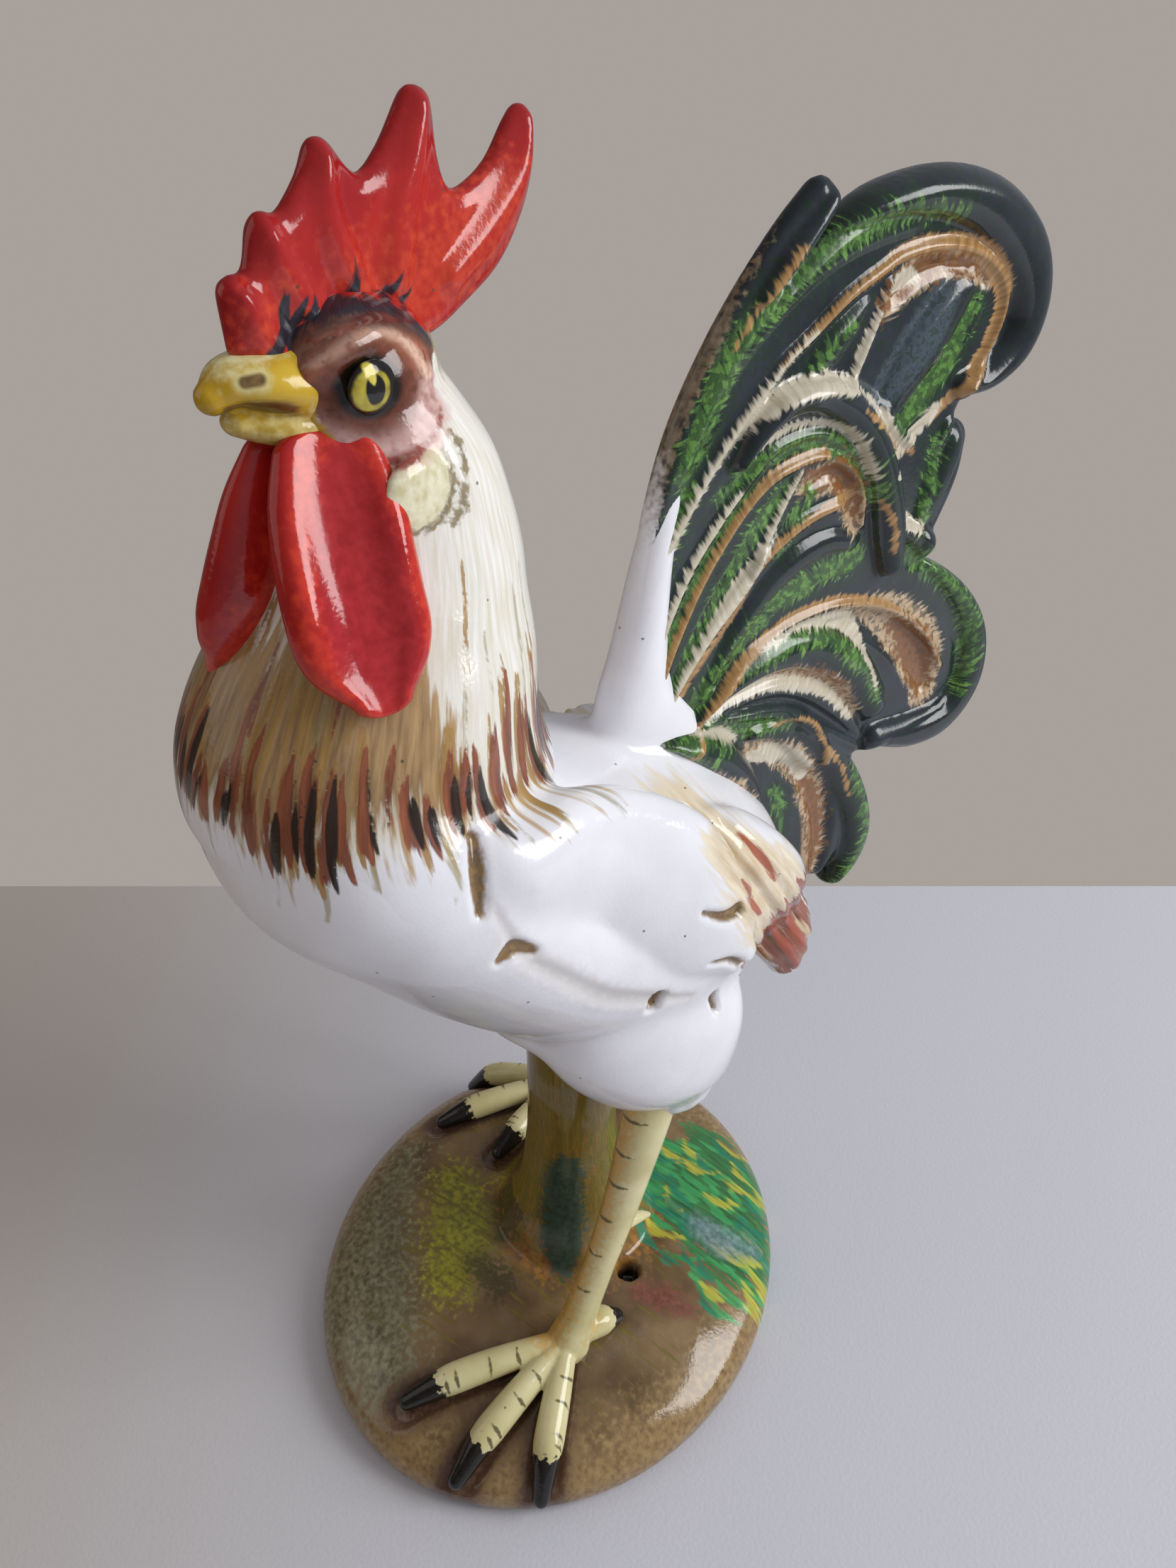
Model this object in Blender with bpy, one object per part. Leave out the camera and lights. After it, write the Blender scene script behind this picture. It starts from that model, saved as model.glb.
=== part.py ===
"""A glazed ceramic rooster on a domed plinth, as the separate clay pieces that are luted together.

The bird faces -Y and its left side is +X. The origin is under the middle of the plinth.
Lengths are in metres. Each piece is whole by itself: where it is luted to another, its root is
cut back to that piece's surface and a slip joint is left between the two. Each piece takes its
place from what carries it: the neck from the breast, the head from the neck, the wings and
saddles from the flanks, the tail from the rump, and the legs from the belly and the plinth.
"""

import math

import bmesh
import bpy
import numpy as np

# Slip joint between two luted pieces
SLIP_GAP = 0.0003

# Plinth: a domed oval, turned a little about Z, flat below
BASE_LENGTH = 0.156
BASE_WIDTH = 0.137
BASE_HEIGHT = 0.0225
BASE_RIM_HEIGHT = 0.006
BASE_TURN = math.radians(27)
BASE_DOME_POWER = 2.6
# Lower rim as rows of share of the width and share of the rim's height
BASE_FOOT = ((0.955, 0.0), (0.985, 0.25), (1.0, 1.0))
# The dome's rings, as degrees round from its top
BASE_DOME_TURNS = (76, 64, 50, 36, 22, 8)
VENT_WIDTH = 0.0062
VENT_DEPTH = 0.008
VENT_PLACE = (0.027, 0.010)

# Body: an egg lying along Y, its breast to the front
BODY_LENGTH = 0.147
BODY_WIDTH = 0.089
BODY_HEIGHT = 0.121
BODY_FRONT = -0.075
BODY_BELLY = 0.117
# Rows of place along the body, top, bottom and width, as shares of its length, height and width
BODY_SECTIONS = (
    (0.000, 0.77, 0.720, 0.08),
    (0.014, 0.84, 0.630, 0.34),
    (0.054, 0.93, 0.550, 0.64),
    (0.129, 1.00, 0.450, 0.86),
    (0.224, 1.00, 0.310, 0.97),
    (0.347, 0.88, 0.165, 1.00),
    (0.483, 0.72, 0.060, 1.00),
    (0.619, 0.67, 0.000, 1.00),
    (0.741, 0.61, 0.010, 0.89),
    (0.840, 0.53, 0.050, 0.72),
    (0.922, 0.43, 0.110, 0.50),
    (0.975, 0.33, 0.170, 0.27),
    (1.000, 0.27, 0.220, 0.08),
)

# Neck: rises from the breast and narrows to the throat
NECK_SET_BACK = 0.037
NECK_FOOT_RISE = 0.079
NECK_LENGTH = 0.100
NECK_WIDTH = 0.070
NECK_DEPTH = 0.075
THROAT_WIDTH = 0.031
THROAT_DEPTH = 0.035
# Rows of share of the length, lean along Y, and how far the width and the depth have gone from
# the throat, 0, to the foot, 1. Below 0 they close over the top of the throat.
NECK_SECTIONS = (
    (0.00, 0.0000, 0.64, 0.53),
    (0.12, -0.0005, 1.00, 1.00),
    (0.22, -0.0023, 0.95, 0.96),
    (0.32, -0.0015, 0.87, 0.88),
    (0.42, 0.0012, 0.72, 0.76),
    (0.51, 0.0040, 0.51, 0.59),
    (0.60, 0.0070, 0.33, 0.43),
    (0.69, 0.0080, 0.22, 0.29),
    (0.78, 0.0080, 0.14, 0.15),
    (0.86, 0.0065, 0.00, 0.00),
    (0.94, 0.0045, -0.32, -0.20),
    (0.99, 0.0040, -0.55, -0.43),
)

# Head: an egg sunk over the top of the neck and turned to the bird's left. What is placed from
# its centre turns with it: out to the side, back along the head, and up.
HEAD_LENGTH = 0.033
HEAD_HEIGHT = 0.029
HEAD_WIDTH = 0.028
HEAD_SINK = 0.0075
HEAD_LEAN = 0.0035
HEAD_TURN = math.radians(14)

# Beak, its two halves as rows of place ahead of the head's front, height, half width and half
# height. The last row is the tip before it is rounded.
BEAK_UPPER = (
    (-0.0060, 0.0030, 0.0112, 0.0057),
    (0.0008, 0.0036, 0.0086, 0.0048),
    (0.0062, 0.0040, 0.0056, 0.0038),
    (0.0098, 0.0030, 0.0030, 0.0025),
)
BEAK_LOWER = (
    (-0.0056, -0.0036, 0.0096, 0.0041),
    (0.0010, -0.0030, 0.0070, 0.0032),
    (0.0060, -0.0018, 0.0036, 0.0021),
)

# Eyes, on the head's side, and ear lobes, on the neck's
EYE_WIDTH = 0.0086
EYE_BULGE = 0.0016
EYE_SEAT = 0.0005
EYE_AT = (-0.0055, 0.0021)
LOBE_WIDTH = 0.014
LOBE_HEIGHT = 0.0175
LOBE_BULGE = 0.0032
LOBE_AT = (0.0140, -0.0015, -0.0133)

# Comb: a thick blade with five points, its outline back along the head and up from its centre
COMB_THICKNESS = 0.008
COMB_ROUNDING = 0.34
COMB_OUTLINE = (
    (-0.0218, 0.0085),
    (-0.0218, 0.0169),
    (-0.0198, 0.0191),
    (-0.0172, 0.0195),
    (-0.0152, 0.0247),
    (-0.0129, 0.0270),
    (-0.0098, 0.0264),
    (-0.0052, 0.0308),
    (-0.0023, 0.0351),
    (0.0005, 0.0350),
    (0.0035, 0.0315),
    (0.0064, 0.0298),
    (0.0111, 0.0333),
    (0.0165, 0.0398),
    (0.0193, 0.0406),
    (0.0218, 0.0385),
    (0.0225, 0.0310),
    (0.0242, 0.0261),
    (0.0276, 0.0253),
    (0.0342, 0.0286),
    (0.0393, 0.0343),
    (0.0426, 0.0364),
    (0.0446, 0.0337),
    (0.0444, 0.0251),
    (0.0407, 0.0176),
    (0.0350, 0.0113),
    (0.0266, 0.0066),
    (0.0184, 0.0032),
    (0.0052, 0.0016),
    (-0.0175, 0.0033),
)

# Wattles: two thick drops that hang from the throat, the right one lower and nearer the middle.
# Rows of how far out, place along the head and height, and half width and half thickness. Their
# middles lie no deeper in the neck than a share of its oval.
WATTLE_ROWS = (
    (0.0080, -0.0126, -0.0044, 0.0095, 0.0042),
    (0.0110, -0.0153, -0.0118, 0.0112, 0.0054),
    (0.0140, -0.0181, -0.0210, 0.0134, 0.0062),
    (0.0170, -0.0182, -0.0300, 0.0138, 0.0064),
    (0.0185, -0.0166, -0.0388, 0.0114, 0.0058),
)
WATTLE_SEAT = 0.68
RIGHT_WATTLE_LOWER = 0.0045
RIGHT_WATTLE_SPREAD = 0.22

# Wings: low reliefs on the flanks. Rows of share of the body's length, share of its height and
# half height of the wing, from shoulder to tip.
WING_RELIEF = 0.005
WING_ROOT = 0.005
WING_ROUTE = (
    (0.299, 0.744, 0.0080),
    (0.340, 0.702, 0.0150),
    (0.435, 0.620, 0.0210),
    (0.537, 0.521, 0.0220),
    (0.619, 0.430, 0.0170),
    (0.687, 0.331, 0.0080),
)

# Saddle tufts beside the tail root. Rows as for the wings, with the tuft's half width.
SADDLE_THICKNESS = 0.016
SADDLE_SPREAD = 0.018
SADDLE_SEAT = 0.004
SADDLE_ROUTE = (
    (0.707, 0.537, 0.0050),
    (0.741, 0.496, 0.0080),
    (0.789, 0.421, 0.0100),
    (0.850, 0.306, 0.0115),
    (0.912, 0.174, 0.0115),
    (0.959, 0.058, 0.0100),
    (0.980, -0.033, 0.0060),
)

# Legs: each thigh is a drop that leans forward into the belly
HIP_INSET = 0.0165
THIGH_DROP = 0.020
THIGH_LENGTH = 0.062
THIGH_WIDTH = 0.036
THIGH_DEPTH = 0.050
# How far along the body each thigh stands, as a share of its length
LEFT_THIGH_ALONG = 0.633
RIGHT_THIGH_ALONG = 0.646
# Rows of share of the hip's spread, lean along Y as a share of the depth, share of the length,
# and width and depth as shares
THIGH_SECTIONS = (
    (0.86, -0.34, 1.00, 0.60, 0.66),
    (0.95, -0.26, 0.72, 0.92, 1.02),
    (1.00, -0.12, 0.45, 1.00, 1.06),
    (1.00, -0.03, 0.24, 0.86, 0.88),
    (1.00, 0.00, 0.08, 0.60, 0.58),
)

# Shanks: tapering rods from inside the thighs to the feet, thicker at both ends
SHANK_WIDTH = 0.0094
SHANK_ROOT = 0.010
SHANK_BOW = 0.003
KNEE_AHEAD = 0.006
ANKLE_LIFT = 0.0028
SHANK_SECTIONS = ((0, 1.45), (0.16, 1.42), (0.45, 1.10), (0.70, 0.94), (0.88, 1.02), (1.0, 1.34))
LEFT_FOOT = (0.036, -0.018)
RIGHT_FOOT = (-0.043, 0.034)
SPUR_LENGTH = 0.009
SPUR_WIDTH = 0.005
SPUR_TIP_WIDTH = 0.0017
SPUR_DROOP = math.radians(23)

# Toes, rolled and pressed to the dome
TOE_WIDTH = 0.0084
HIND_TOE_LENGTH = 0.016
HIND_TOE_TURN = 165
# Each toe from hub to claw: share of its reach, width and lift as shares of the toe's width
TOE_ROLL = (
    (0.00, 0.72, 0.50),
    (0.20, 0.82, 0.48),
    (0.45, 0.95, 0.45),
    (0.70, 1.00, 0.40),
    (0.80, 0.84, 0.32),
    (1.00, 0.44, 0.12),
)
# Each front toe by its reach and its heading from straight ahead, in degrees towards +X
LEFT_TOES = (("inner", 0.0465, -18), ("middle", 0.0435, 12), ("outer", 0.036, 44))
RIGHT_TOES = (("inner", 0.0365, 20), ("middle", 0.0435, -16), ("outer", 0.0345, -52))

# Stump under the belly, rows of share of its height and of its flare
STUMP_WIDTH = 0.025
STUMP_FOOT_WIDTH = 0.050
STUMP_PLACE = (-0.001, 0.009)
STUMP_ROOT = 0.012
STUMP_SECTIONS = ((-0.02, 1.0), (0.05, 0.72), (0.16, 0.34), (0.35, 0.08), (0.65, 0.0), (1.0, 0.12))

# Tail: a thin upright web with feathers along its rim and on both sides. Its root lies in the
# rump, so far along the body and so far under its back.
TAIL_ALONG = 0.7007
TAIL_SINK = 0.0062
WEB_ROOT_THICKNESS = 0.014
WEB_THICKNESS = 0.007
WEB_TAPER = 0.050
WEB_EDGE = 0.45
WEB_SHARES = (0.30, 0.92, 1.0)
# Rim of the web, rows of heading in degrees above +Y and reach from the root
WEB_RIM = (
    (105, 0.012),
    (95, 0.030),
    (88, 0.050),
    (84, 0.068),
    (80, 0.086),
    (76.5, 0.099),
    (72.5, 0.110),
    (67, 0.114),
    (63, 0.124),
    (59, 0.132),
    (53, 0.139),
    (47, 0.143),
    (42, 0.144),
    (38, 0.136),
    (35.5, 0.118),
    (32, 0.106),
    (28, 0.103),
    (23, 0.096),
    (18, 0.092),
    (13, 0.093),
    (6, 0.106),
    (-1, 0.114),
    (-8, 0.118),
    (-13, 0.112),
    (-17, 0.094),
    (-22, 0.078),
    (-27, 0.079),
    (-33, 0.095),
    (-39, 0.101),
    (-45, 0.100),
    (-52, 0.080),
    (-60, 0.055),
)
LEAD_THICKNESS = 0.008
SICKLE_THICKNESS = 0.015
LOW_THICKNESS = 0.0135
REAR_THICKNESS = 0.012
RELIEF_THICKNESS = 0.009
# Feathers as rows of (Y, Z) from the tail's root and half width, the side ones with how far
# they stand off the web
FEATHER_LEAD = (
    (-0.0005, 0.0410, 0.0026),
    (0.0045, 0.0600, 0.0038),
    (0.0100, 0.0750, 0.0046),
    (0.0170, 0.0880, 0.0049),
    (0.0250, 0.1000, 0.0048),
    (0.0340, 0.1110, 0.0042),
    (0.0420, 0.1190, 0.0034),
)
SICKLE_UPPER = (
    (0.0000, 0.0430, 0.0023),
    (0.0140, 0.0730, 0.0042),
    (0.0310, 0.0940, 0.0062),
    (0.0530, 0.1090, 0.0076),
    (0.0700, 0.1130, 0.0084),
    (0.0860, 0.1115, 0.0090),
    (0.1010, 0.1050, 0.0094),
    (0.1120, 0.0950, 0.0092),
    (0.1125, 0.0830, 0.0080),
    (0.1040, 0.0755, 0.0062),
    (0.0970, 0.0730, 0.0041),
)
SICKLE_LOWER = (
    (0.0120, 0.0140, 0.0024),
    (0.0280, 0.0260, 0.0060),
    (0.0480, 0.0330, 0.0074),
    (0.0700, 0.0280, 0.0080),
    (0.0900, 0.0205, 0.0080),
    (0.1060, 0.0100, 0.0076),
    (0.1165, -0.0030, 0.0072),
    (0.1190, -0.0170, 0.0072),
    (0.1120, -0.0265, 0.0072),
    (0.0990, -0.0275, 0.0066),
    (0.0870, -0.0245, 0.0050),
)
LOBE_REAR = (
    (0.0870, 0.0290, 0.0040),
    (0.0905, 0.0400, 0.0060),
    (0.0935, 0.0500, 0.0070),
    (0.0950, 0.0580, 0.0060),
)
LOBE_LOW = (
    (0.0140, 0.0070, 0.0018),
    (0.0280, 0.0030, 0.0034),
    (0.0440, -0.0060, 0.0056),
    (0.0600, -0.0200, 0.0068),
    (0.0730, -0.0370, 0.0072),
    (0.0805, -0.0530, 0.0070),
    (0.0810, -0.0650, 0.0060),
    (0.0755, -0.0730, 0.0032),
)
FEATHER_INNER = (
    (0.0640, 0.0670, 0.0050, 0.0000),
    (0.0730, 0.0760, 0.0070, 0.0010),
    (0.0820, 0.0850, 0.0084, 0.0010),
    (0.0900, 0.0930, 0.0066, 0.0000),
)
SCROLL_MIDDLE = (
    (0.0020, 0.0410, 0.0022, 0.0000),
    (0.0100, 0.0550, 0.0030, 0.0010),
    (0.0210, 0.0690, 0.0040, 0.0020),
    (0.0330, 0.0750, 0.0050, 0.0030),
    (0.0450, 0.0750, 0.0056, 0.0040),
    (0.0560, 0.0695, 0.0056, 0.0050),
    (0.0640, 0.0590, 0.0051, 0.0060),
    (0.0690, 0.0460, 0.0048, 0.0075),
    (0.0755, 0.0325, 0.0038, 0.0100),
)
SCROLL_LOWER = (
    (0.0180, 0.0110, 0.0024, 0.0000),
    (0.0330, 0.0155, 0.0042, 0.0020),
    (0.0490, 0.0140, 0.0052, 0.0030),
    (0.0640, 0.0055, 0.0056, 0.0040),
    (0.0760, -0.0065, 0.0052, 0.0040),
    (0.0805, -0.0160, 0.0032, 0.0040),
)
COVERT = (
    (-0.0010, 0.0100, 0.0028, 0.0040),
    (0.0080, 0.0065, 0.0042, 0.0080),
    (0.0180, -0.0010, 0.0052, 0.0110),
    (0.0275, -0.0105, 0.0052, 0.0130),
    (0.0335, -0.0215, 0.0042, 0.0130),
    (0.0350, -0.0330, 0.0022, 0.0110),
)

# Glaze colours: name, colour, roughness
GLAZES = {
    "white": ((0.78, 0.77, 0.80), 0.12),
    "ivory": ((0.72, 0.66, 0.52), 0.16),
    "red": ((0.48, 0.02, 0.015), 0.14),
    "face": ((0.22, 0.08, 0.05), 0.20),
    "ochre": ((0.58, 0.41, 0.06), 0.18),
    "cream": ((0.67, 0.64, 0.40), 0.20),
    "straw": ((0.69, 0.62, 0.32), 0.18),
    "tan": ((0.36, 0.24, 0.11), 0.25),
    "moss": ((0.16, 0.20, 0.04), 0.25),
    "tail_white": ((0.62, 0.55, 0.44), 0.20),
    "green": ((0.06, 0.16, 0.04), 0.20),
    "blue_black": ((0.018, 0.025, 0.033), 0.15),
    "rust": ((0.40, 0.14, 0.06), 0.22),
}

# Sides of the round pieces
BASE_SIDES = 28
VENT_SIDES = 16
BODY_SIDES = 20
NECK_SIDES = 16
HEAD_SIDES = 16
BROAD_SIDES = 10
ROD_SIDES = 8

# Degrees round from its widest line at which an egg, and a rolled end, gets its rings
EGG_TURNS = (-70, -36, 0, 36, 70)
END_TURNS = (38, 72)
SHARP_ANGLE = math.radians(50)

# The bird's own axes
LEFTWARD = (1, 0, 0)
BACKWARD = (0, 1, 0)
UPWARD = (0, 0, 1)

cutters = {}


def clear_scene():
    for old in list(bpy.data.objects):
        bpy.data.objects.remove(old, do_unlink=True)


def glaze(name):
    found = bpy.data.materials.get(name)
    if found:
        return found
    colour, roughness = GLAZES[name]
    material = bpy.data.materials.new(name)
    material.use_nodes = True
    shader = material.node_tree.nodes["Principled BSDF"]
    shader.inputs["Base Color"].default_value = (*colour, 1.0)
    shader.inputs["Roughness"].default_value = roughness
    shader.inputs["Metallic"].default_value = 0.0
    material.diffuse_color = (*colour, 1.0)
    return material


def through(rows, steps):
    """Rows on a smooth curve that passes through each given row, with so many steps to a span."""
    given = np.array(rows, float)
    ends = 2 * given[0] - given[1], 2 * given[-1] - given[-2]
    given = np.vstack([ends[0], given, ends[1]])
    curve = []
    for i in range(1, len(given) - 2):
        before, start, end, after = given[i - 1 : i + 3]
        for t in np.arange(steps) / steps:
            linear = (end - before) * t
            square = (2 * before - 5 * start + 4 * end - after) * t**2
            cube = (3 * start - before - 3 * end + after) * t**3
            curve.append(start + 0.5 * (linear + square + cube))
    curve.append(given[-2])
    return np.array(curve)


def unit(vectors):
    return vectors / np.linalg.norm(vectors, axis=-1, keepdims=True)


def round_turns(sides):
    return np.arange(sides) * 2 * math.pi / sides


def skin(name, rings, material):
    """A closed solid through rings of points, each the same count, with a flat end on each side."""
    model = bmesh.new()
    loops = [[model.verts.new(point) for point in ring] for ring in rings]
    for lower, upper in zip(loops, loops[1:]):
        for i in range(len(lower)):
            k = (i + 1) % len(lower)
            model.faces.new((lower[i], lower[k], upper[k], upper[i]))
    model.faces.new(loops[0][::-1])
    model.faces.new(loops[-1])
    return finish(name, model, material)


def finish(name, model, material):
    bmesh.ops.recalc_face_normals(model, faces=model.faces)
    mesh = bpy.data.meshes.new(name)
    model.to_mesh(mesh)
    model.free()
    mesh.materials.append(glaze(material))
    mesh.shade_smooth()
    mesh.set_sharp_from_angle(angle=SHARP_ANGLE)
    piece = bpy.data.objects.new(name, mesh)
    bpy.context.collection.objects.link(piece)
    return piece


def oval_ring(centre, along_a, half_a, along_b, half_b, sides):
    turn = round_turns(sides)
    offset_a = np.outer(np.cos(turn) * half_a, along_a)
    offset_b = np.outer(np.sin(turn) * half_b, along_b)
    return centre + offset_a + offset_b


def sweep_rings(route, halves, lateral, sides):
    """Oval rings round a route, with rounded ends. The first half of each ring lies along lateral."""
    tangents = unit(np.gradient(route, axis=0))
    lateral = np.array(lateral, float)
    side_axes = unit(lateral - (tangents @ lateral)[:, None] * tangents)
    up_axes = np.cross(tangents, side_axes)
    rings = []
    last = len(route) - 1
    stations = [(0, -turn) for turn in END_TURNS[::-1]]
    stations += [(i, 0) for i in range(len(route))]
    stations += [(last, turn) for turn in END_TURNS]
    for i, bend in stations:
        reach = math.sin(math.radians(bend)) * min(halves[i])
        shrink = math.cos(math.radians(bend))
        centre = route[i] + tangents[i] * reach
        first, second = halves[i] * shrink
        rings.append(oval_ring(centre, side_axes[i], first, up_axes[i], second, sides))
    return rings


def egg_rings(centre, along, length, axis_a, half_a, axis_b, half_b, sides):
    """Rings of an egg whose middle is at centre."""
    rings = []
    for turn in EGG_TURNS:
        place = centre + np.array(along) * math.sin(math.radians(turn)) * length / 2
        shrink = math.cos(math.radians(turn))
        rings.append(oval_ring(place, axis_a, half_a * shrink, axis_b, half_b * shrink, sides))
    return rings


def hide_cutter(cutter):
    cutter.hide_render = True
    cutter.display_type = "WIRE"
    return cutter


def cut(piece, name, cutter):
    step = piece.modifiers.new(name, "BOOLEAN")
    step.operation = "DIFFERENCE"
    step.solver = "EXACT"
    step.object = cutter


def grown(carrier):
    """A hidden copy of a piece, larger all round by the slip joint. It cuts the roots laid on it."""
    if carrier.name in cutters:
        return cutters[carrier.name]
    mesh = carrier.data.copy()
    normals = [vertex.normal.copy() for vertex in mesh.vertices]
    for vertex, normal in zip(mesh.vertices, normals):
        vertex.co += normal * SLIP_GAP
    cutter = bpy.data.objects.new("cut_by_" + carrier.name, mesh)
    bpy.context.collection.objects.link(cutter)
    cutters[carrier.name] = hide_cutter(cutter)
    return cutter


def lute(piece, *carriers):
    """Cuts a piece's root back to the surface of each piece that it is laid on."""
    for carrier in carriers:
        cut(piece, "root_on_" + carrier.name, grown(carrier))
    return piece


def ground(x, y):
    """Height of the plinth's dome at a place."""
    along = x * math.cos(BASE_TURN) + y * math.sin(BASE_TURN)
    across = y * math.cos(BASE_TURN) - x * math.sin(BASE_TURN)
    share = math.hypot(along / (BASE_WIDTH / 2), across / (BASE_LENGTH / 2))
    dome = math.sqrt(max(0.0, 1 - share**BASE_DOME_POWER))
    return BASE_RIM_HEIGHT + (BASE_HEIGHT - BASE_RIM_HEIGHT) * dome


def base_ring(share):
    """X and Y of a ring of the plinth, as a share of its rim."""
    turn = round_turns(BASE_SIDES)
    x = np.cos(turn) * share * BASE_WIDTH / 2
    y = np.sin(turn) * share * BASE_LENGTH / 2
    turned_x = x * math.cos(BASE_TURN) - y * math.sin(BASE_TURN)
    turned_y = x * math.sin(BASE_TURN) + y * math.cos(BASE_TURN)
    return turned_x, turned_y


def make_base():
    """The plinth's rim is rounded below and its dome rises from the widest line."""
    rings = []
    for share, rise in BASE_FOOT:
        x, y = base_ring(share)
        rings.append(np.stack([x, y, np.full(len(x), rise * BASE_RIM_HEIGHT)], axis=1))
    for turn in BASE_DOME_TURNS:
        x, y = base_ring(math.sin(math.radians(turn)))
        rings.append(np.stack([x, y, np.full(len(x), ground(x[0], y[0]))], axis=1))
    base = skin("base_mound", rings, "tan")
    top = ground(*VENT_PLACE)
    half = VENT_WIDTH / 2
    ends = [(*VENT_PLACE, top + VENT_DEPTH), (*VENT_PLACE, top - VENT_DEPTH)]
    rings = [oval_ring(np.array(end), LEFTWARD, half, BACKWARD, half, VENT_SIDES) for end in ends]
    cut(base, "vent", hide_cutter(skin("cut_vent", rings, "tan")))
    return base


def on_body(along, rise):
    """Y and Z at a share of the body's length and height."""
    return BODY_FRONT + along * BODY_LENGTH, BODY_BELLY + rise * BODY_HEIGHT


def body_rows():
    """Rows of Y, top, bottom and half width along the body."""
    rows = through(BODY_SECTIONS, 2)
    y, top = on_body(rows[:, 0], rows[:, 1])
    bottom = on_body(rows[:, 0], rows[:, 2])[1]
    return np.stack([y, top, bottom, rows[:, 3] * BODY_WIDTH / 2], axis=1)


def body_at(y):
    """Top, bottom and half width of the body at a place along it."""
    rows = body_rows()
    return [float(np.interp(y, rows[:, 0], rows[:, i])) for i in (1, 2, 3)]


def flank(y, z):
    """How far the body's side stands out at a place, or 0 off the body."""
    top, bottom, half_width = body_at(y)
    rise = (z - (top + bottom) / 2) / ((top - bottom) / 2)
    return half_width * math.sqrt(max(0.0, 1 - rise**2))


def make_body():
    rings = []
    for y, top, bottom, half_width in body_rows():
        centre = np.array((0, y, (top + bottom) / 2))
        rings.append(oval_ring(centre, LEFTWARD, half_width, UPWARD, (top - bottom) / 2, BODY_SIDES))
    return skin("body_shell", rings, "white")


def between(share, throat, foot):
    """Half a size of the neck, from its throat to its foot, closing over the top below 0."""
    return throat / 2 * (1 + np.minimum(share, 0)) + (foot - throat) / 2 * np.maximum(share, 0)


def neck_rows():
    """Rows of Y, Z, half width and half depth up the neck."""
    rows = through(NECK_SECTIONS, 2)
    y = BODY_FRONT + NECK_SET_BACK + rows[:, 1]
    z = BODY_BELLY + NECK_FOOT_RISE + rows[:, 0] * NECK_LENGTH
    half_width = between(rows[:, 2], THROAT_WIDTH, NECK_WIDTH)
    half_depth = between(rows[:, 3], THROAT_DEPTH, NECK_DEPTH)
    return np.stack([y, z, half_width, half_depth], axis=1)


def clear_of_neck(place, least):
    """A place moved out level from the neck's axis until it is so far out as a share of the oval."""
    rows = neck_rows()
    middle, half_width, half_depth = (np.interp(place[2], rows[:, 1], rows[:, i]) for i in (0, 2, 3))
    axis = np.array((0, middle, place[2]))
    share = math.hypot(place[0] / half_width, (place[1] - middle) / half_depth)
    return axis + (place - axis) * max(1.0, least / share)


def make_neck(body):
    rings = []
    for y, z, half_width, half_depth in neck_rows():
        rings.append(oval_ring(np.array((0, y, z)), LEFTWARD, half_width, BACKWARD, half_depth, NECK_SIDES))
    return lute(skin("neck_hackle", rings, "ivory"), body)


def head_centre():
    y = BODY_FRONT + NECK_SET_BACK + HEAD_LEAN
    z = BODY_BELLY + NECK_FOOT_RISE + NECK_LENGTH - HEAD_SINK
    return np.array((0, y, z))


def head_axes():
    """The head's own leftward and backward axes."""
    leftward = np.array((math.cos(HEAD_TURN), math.sin(HEAD_TURN), 0))
    return leftward, np.array((-leftward[1], leftward[0], 0))


def from_head(out, back, up):
    leftward, backward = head_axes()
    return head_centre() + leftward * out + backward * back + np.array((0, 0, up))


def head_side(back, up):
    """How far the head's side stands out at a place given from its centre."""
    share = (back / (HEAD_LENGTH / 2)) ** 2 + (up / (HEAD_HEIGHT / 2)) ** 2
    return HEAD_WIDTH / 2 * math.sqrt(max(0.0, 1 - share))


def make_head(neck):
    leftward, backward = head_axes()
    halves = HEAD_WIDTH / 2, HEAD_HEIGHT / 2
    rings = egg_rings(head_centre(), backward, HEAD_LENGTH, leftward, halves[0], UPWARD, halves[1], HEAD_SIDES)
    return lute(skin("head", rings, "face"), neck)


def make_beak(head, neck):
    """The upper half hooks down over the lower one."""
    made = []
    for name, rows in (("beak_upper", BEAK_UPPER), ("beak_lower", BEAK_LOWER)):
        curve = through(rows, 2)
        route = np.array([from_head(0, -HEAD_LENGTH / 2 - ahead, up) for ahead, up, _, _ in curve])
        rings = sweep_rings(route, curve[:, 2:], head_axes()[0], BROAD_SIDES)
        made.append(skin(name, rings, "ochre"))
    lute(made[0], neck, head)
    lute(made[1], neck, head, made[0])
    return made


def make_comb(head, beak):
    """A flat blade with a bevelled edge."""
    outline = through(COMB_OUTLINE + COMB_OUTLINE[:1], 2)[:-1]
    model = bmesh.new()
    low = [model.verts.new(from_head(-COMB_THICKNESS / 2, back, up)) for back, up in outline]
    face = model.faces.new(low)
    moved = bmesh.ops.extrude_face_region(model, geom=[face])["geom"]
    high = [part for part in moved if isinstance(part, bmesh.types.BMVert)]
    bmesh.ops.translate(model, verts=high, vec=head_axes()[0] * COMB_THICKNESS)
    comb = finish("comb", model, "red")
    edge = comb.modifiers.new("round_edge", "BEVEL")
    edge.width = COMB_THICKNESS * COMB_ROUNDING
    edge.segments = 1
    edge.limit_method = "ANGLE"
    edge.angle_limit = math.radians(60)
    return lute(comb, head, beak)


def make_wattle(side, name, carriers):
    """A drop that stands out from the front of the neck."""
    spread, lower = (1.0, 0.0) if side == 1 else (RIGHT_WATTLE_SPREAD, RIGHT_WATTLE_LOWER)
    curve = through(WATTLE_ROWS, 2)
    route = []
    for out, back, up, _, _ in curve:
        place = from_head(side * out * spread, back, up - lower)
        route.append(clear_of_neck(place, WATTLE_SEAT))
    rings = sweep_rings(np.array(route), curve[:, [4, 3]], head_axes()[0], BROAD_SIDES)
    return lute(skin(name, rings, "red"), *carriers)


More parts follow.
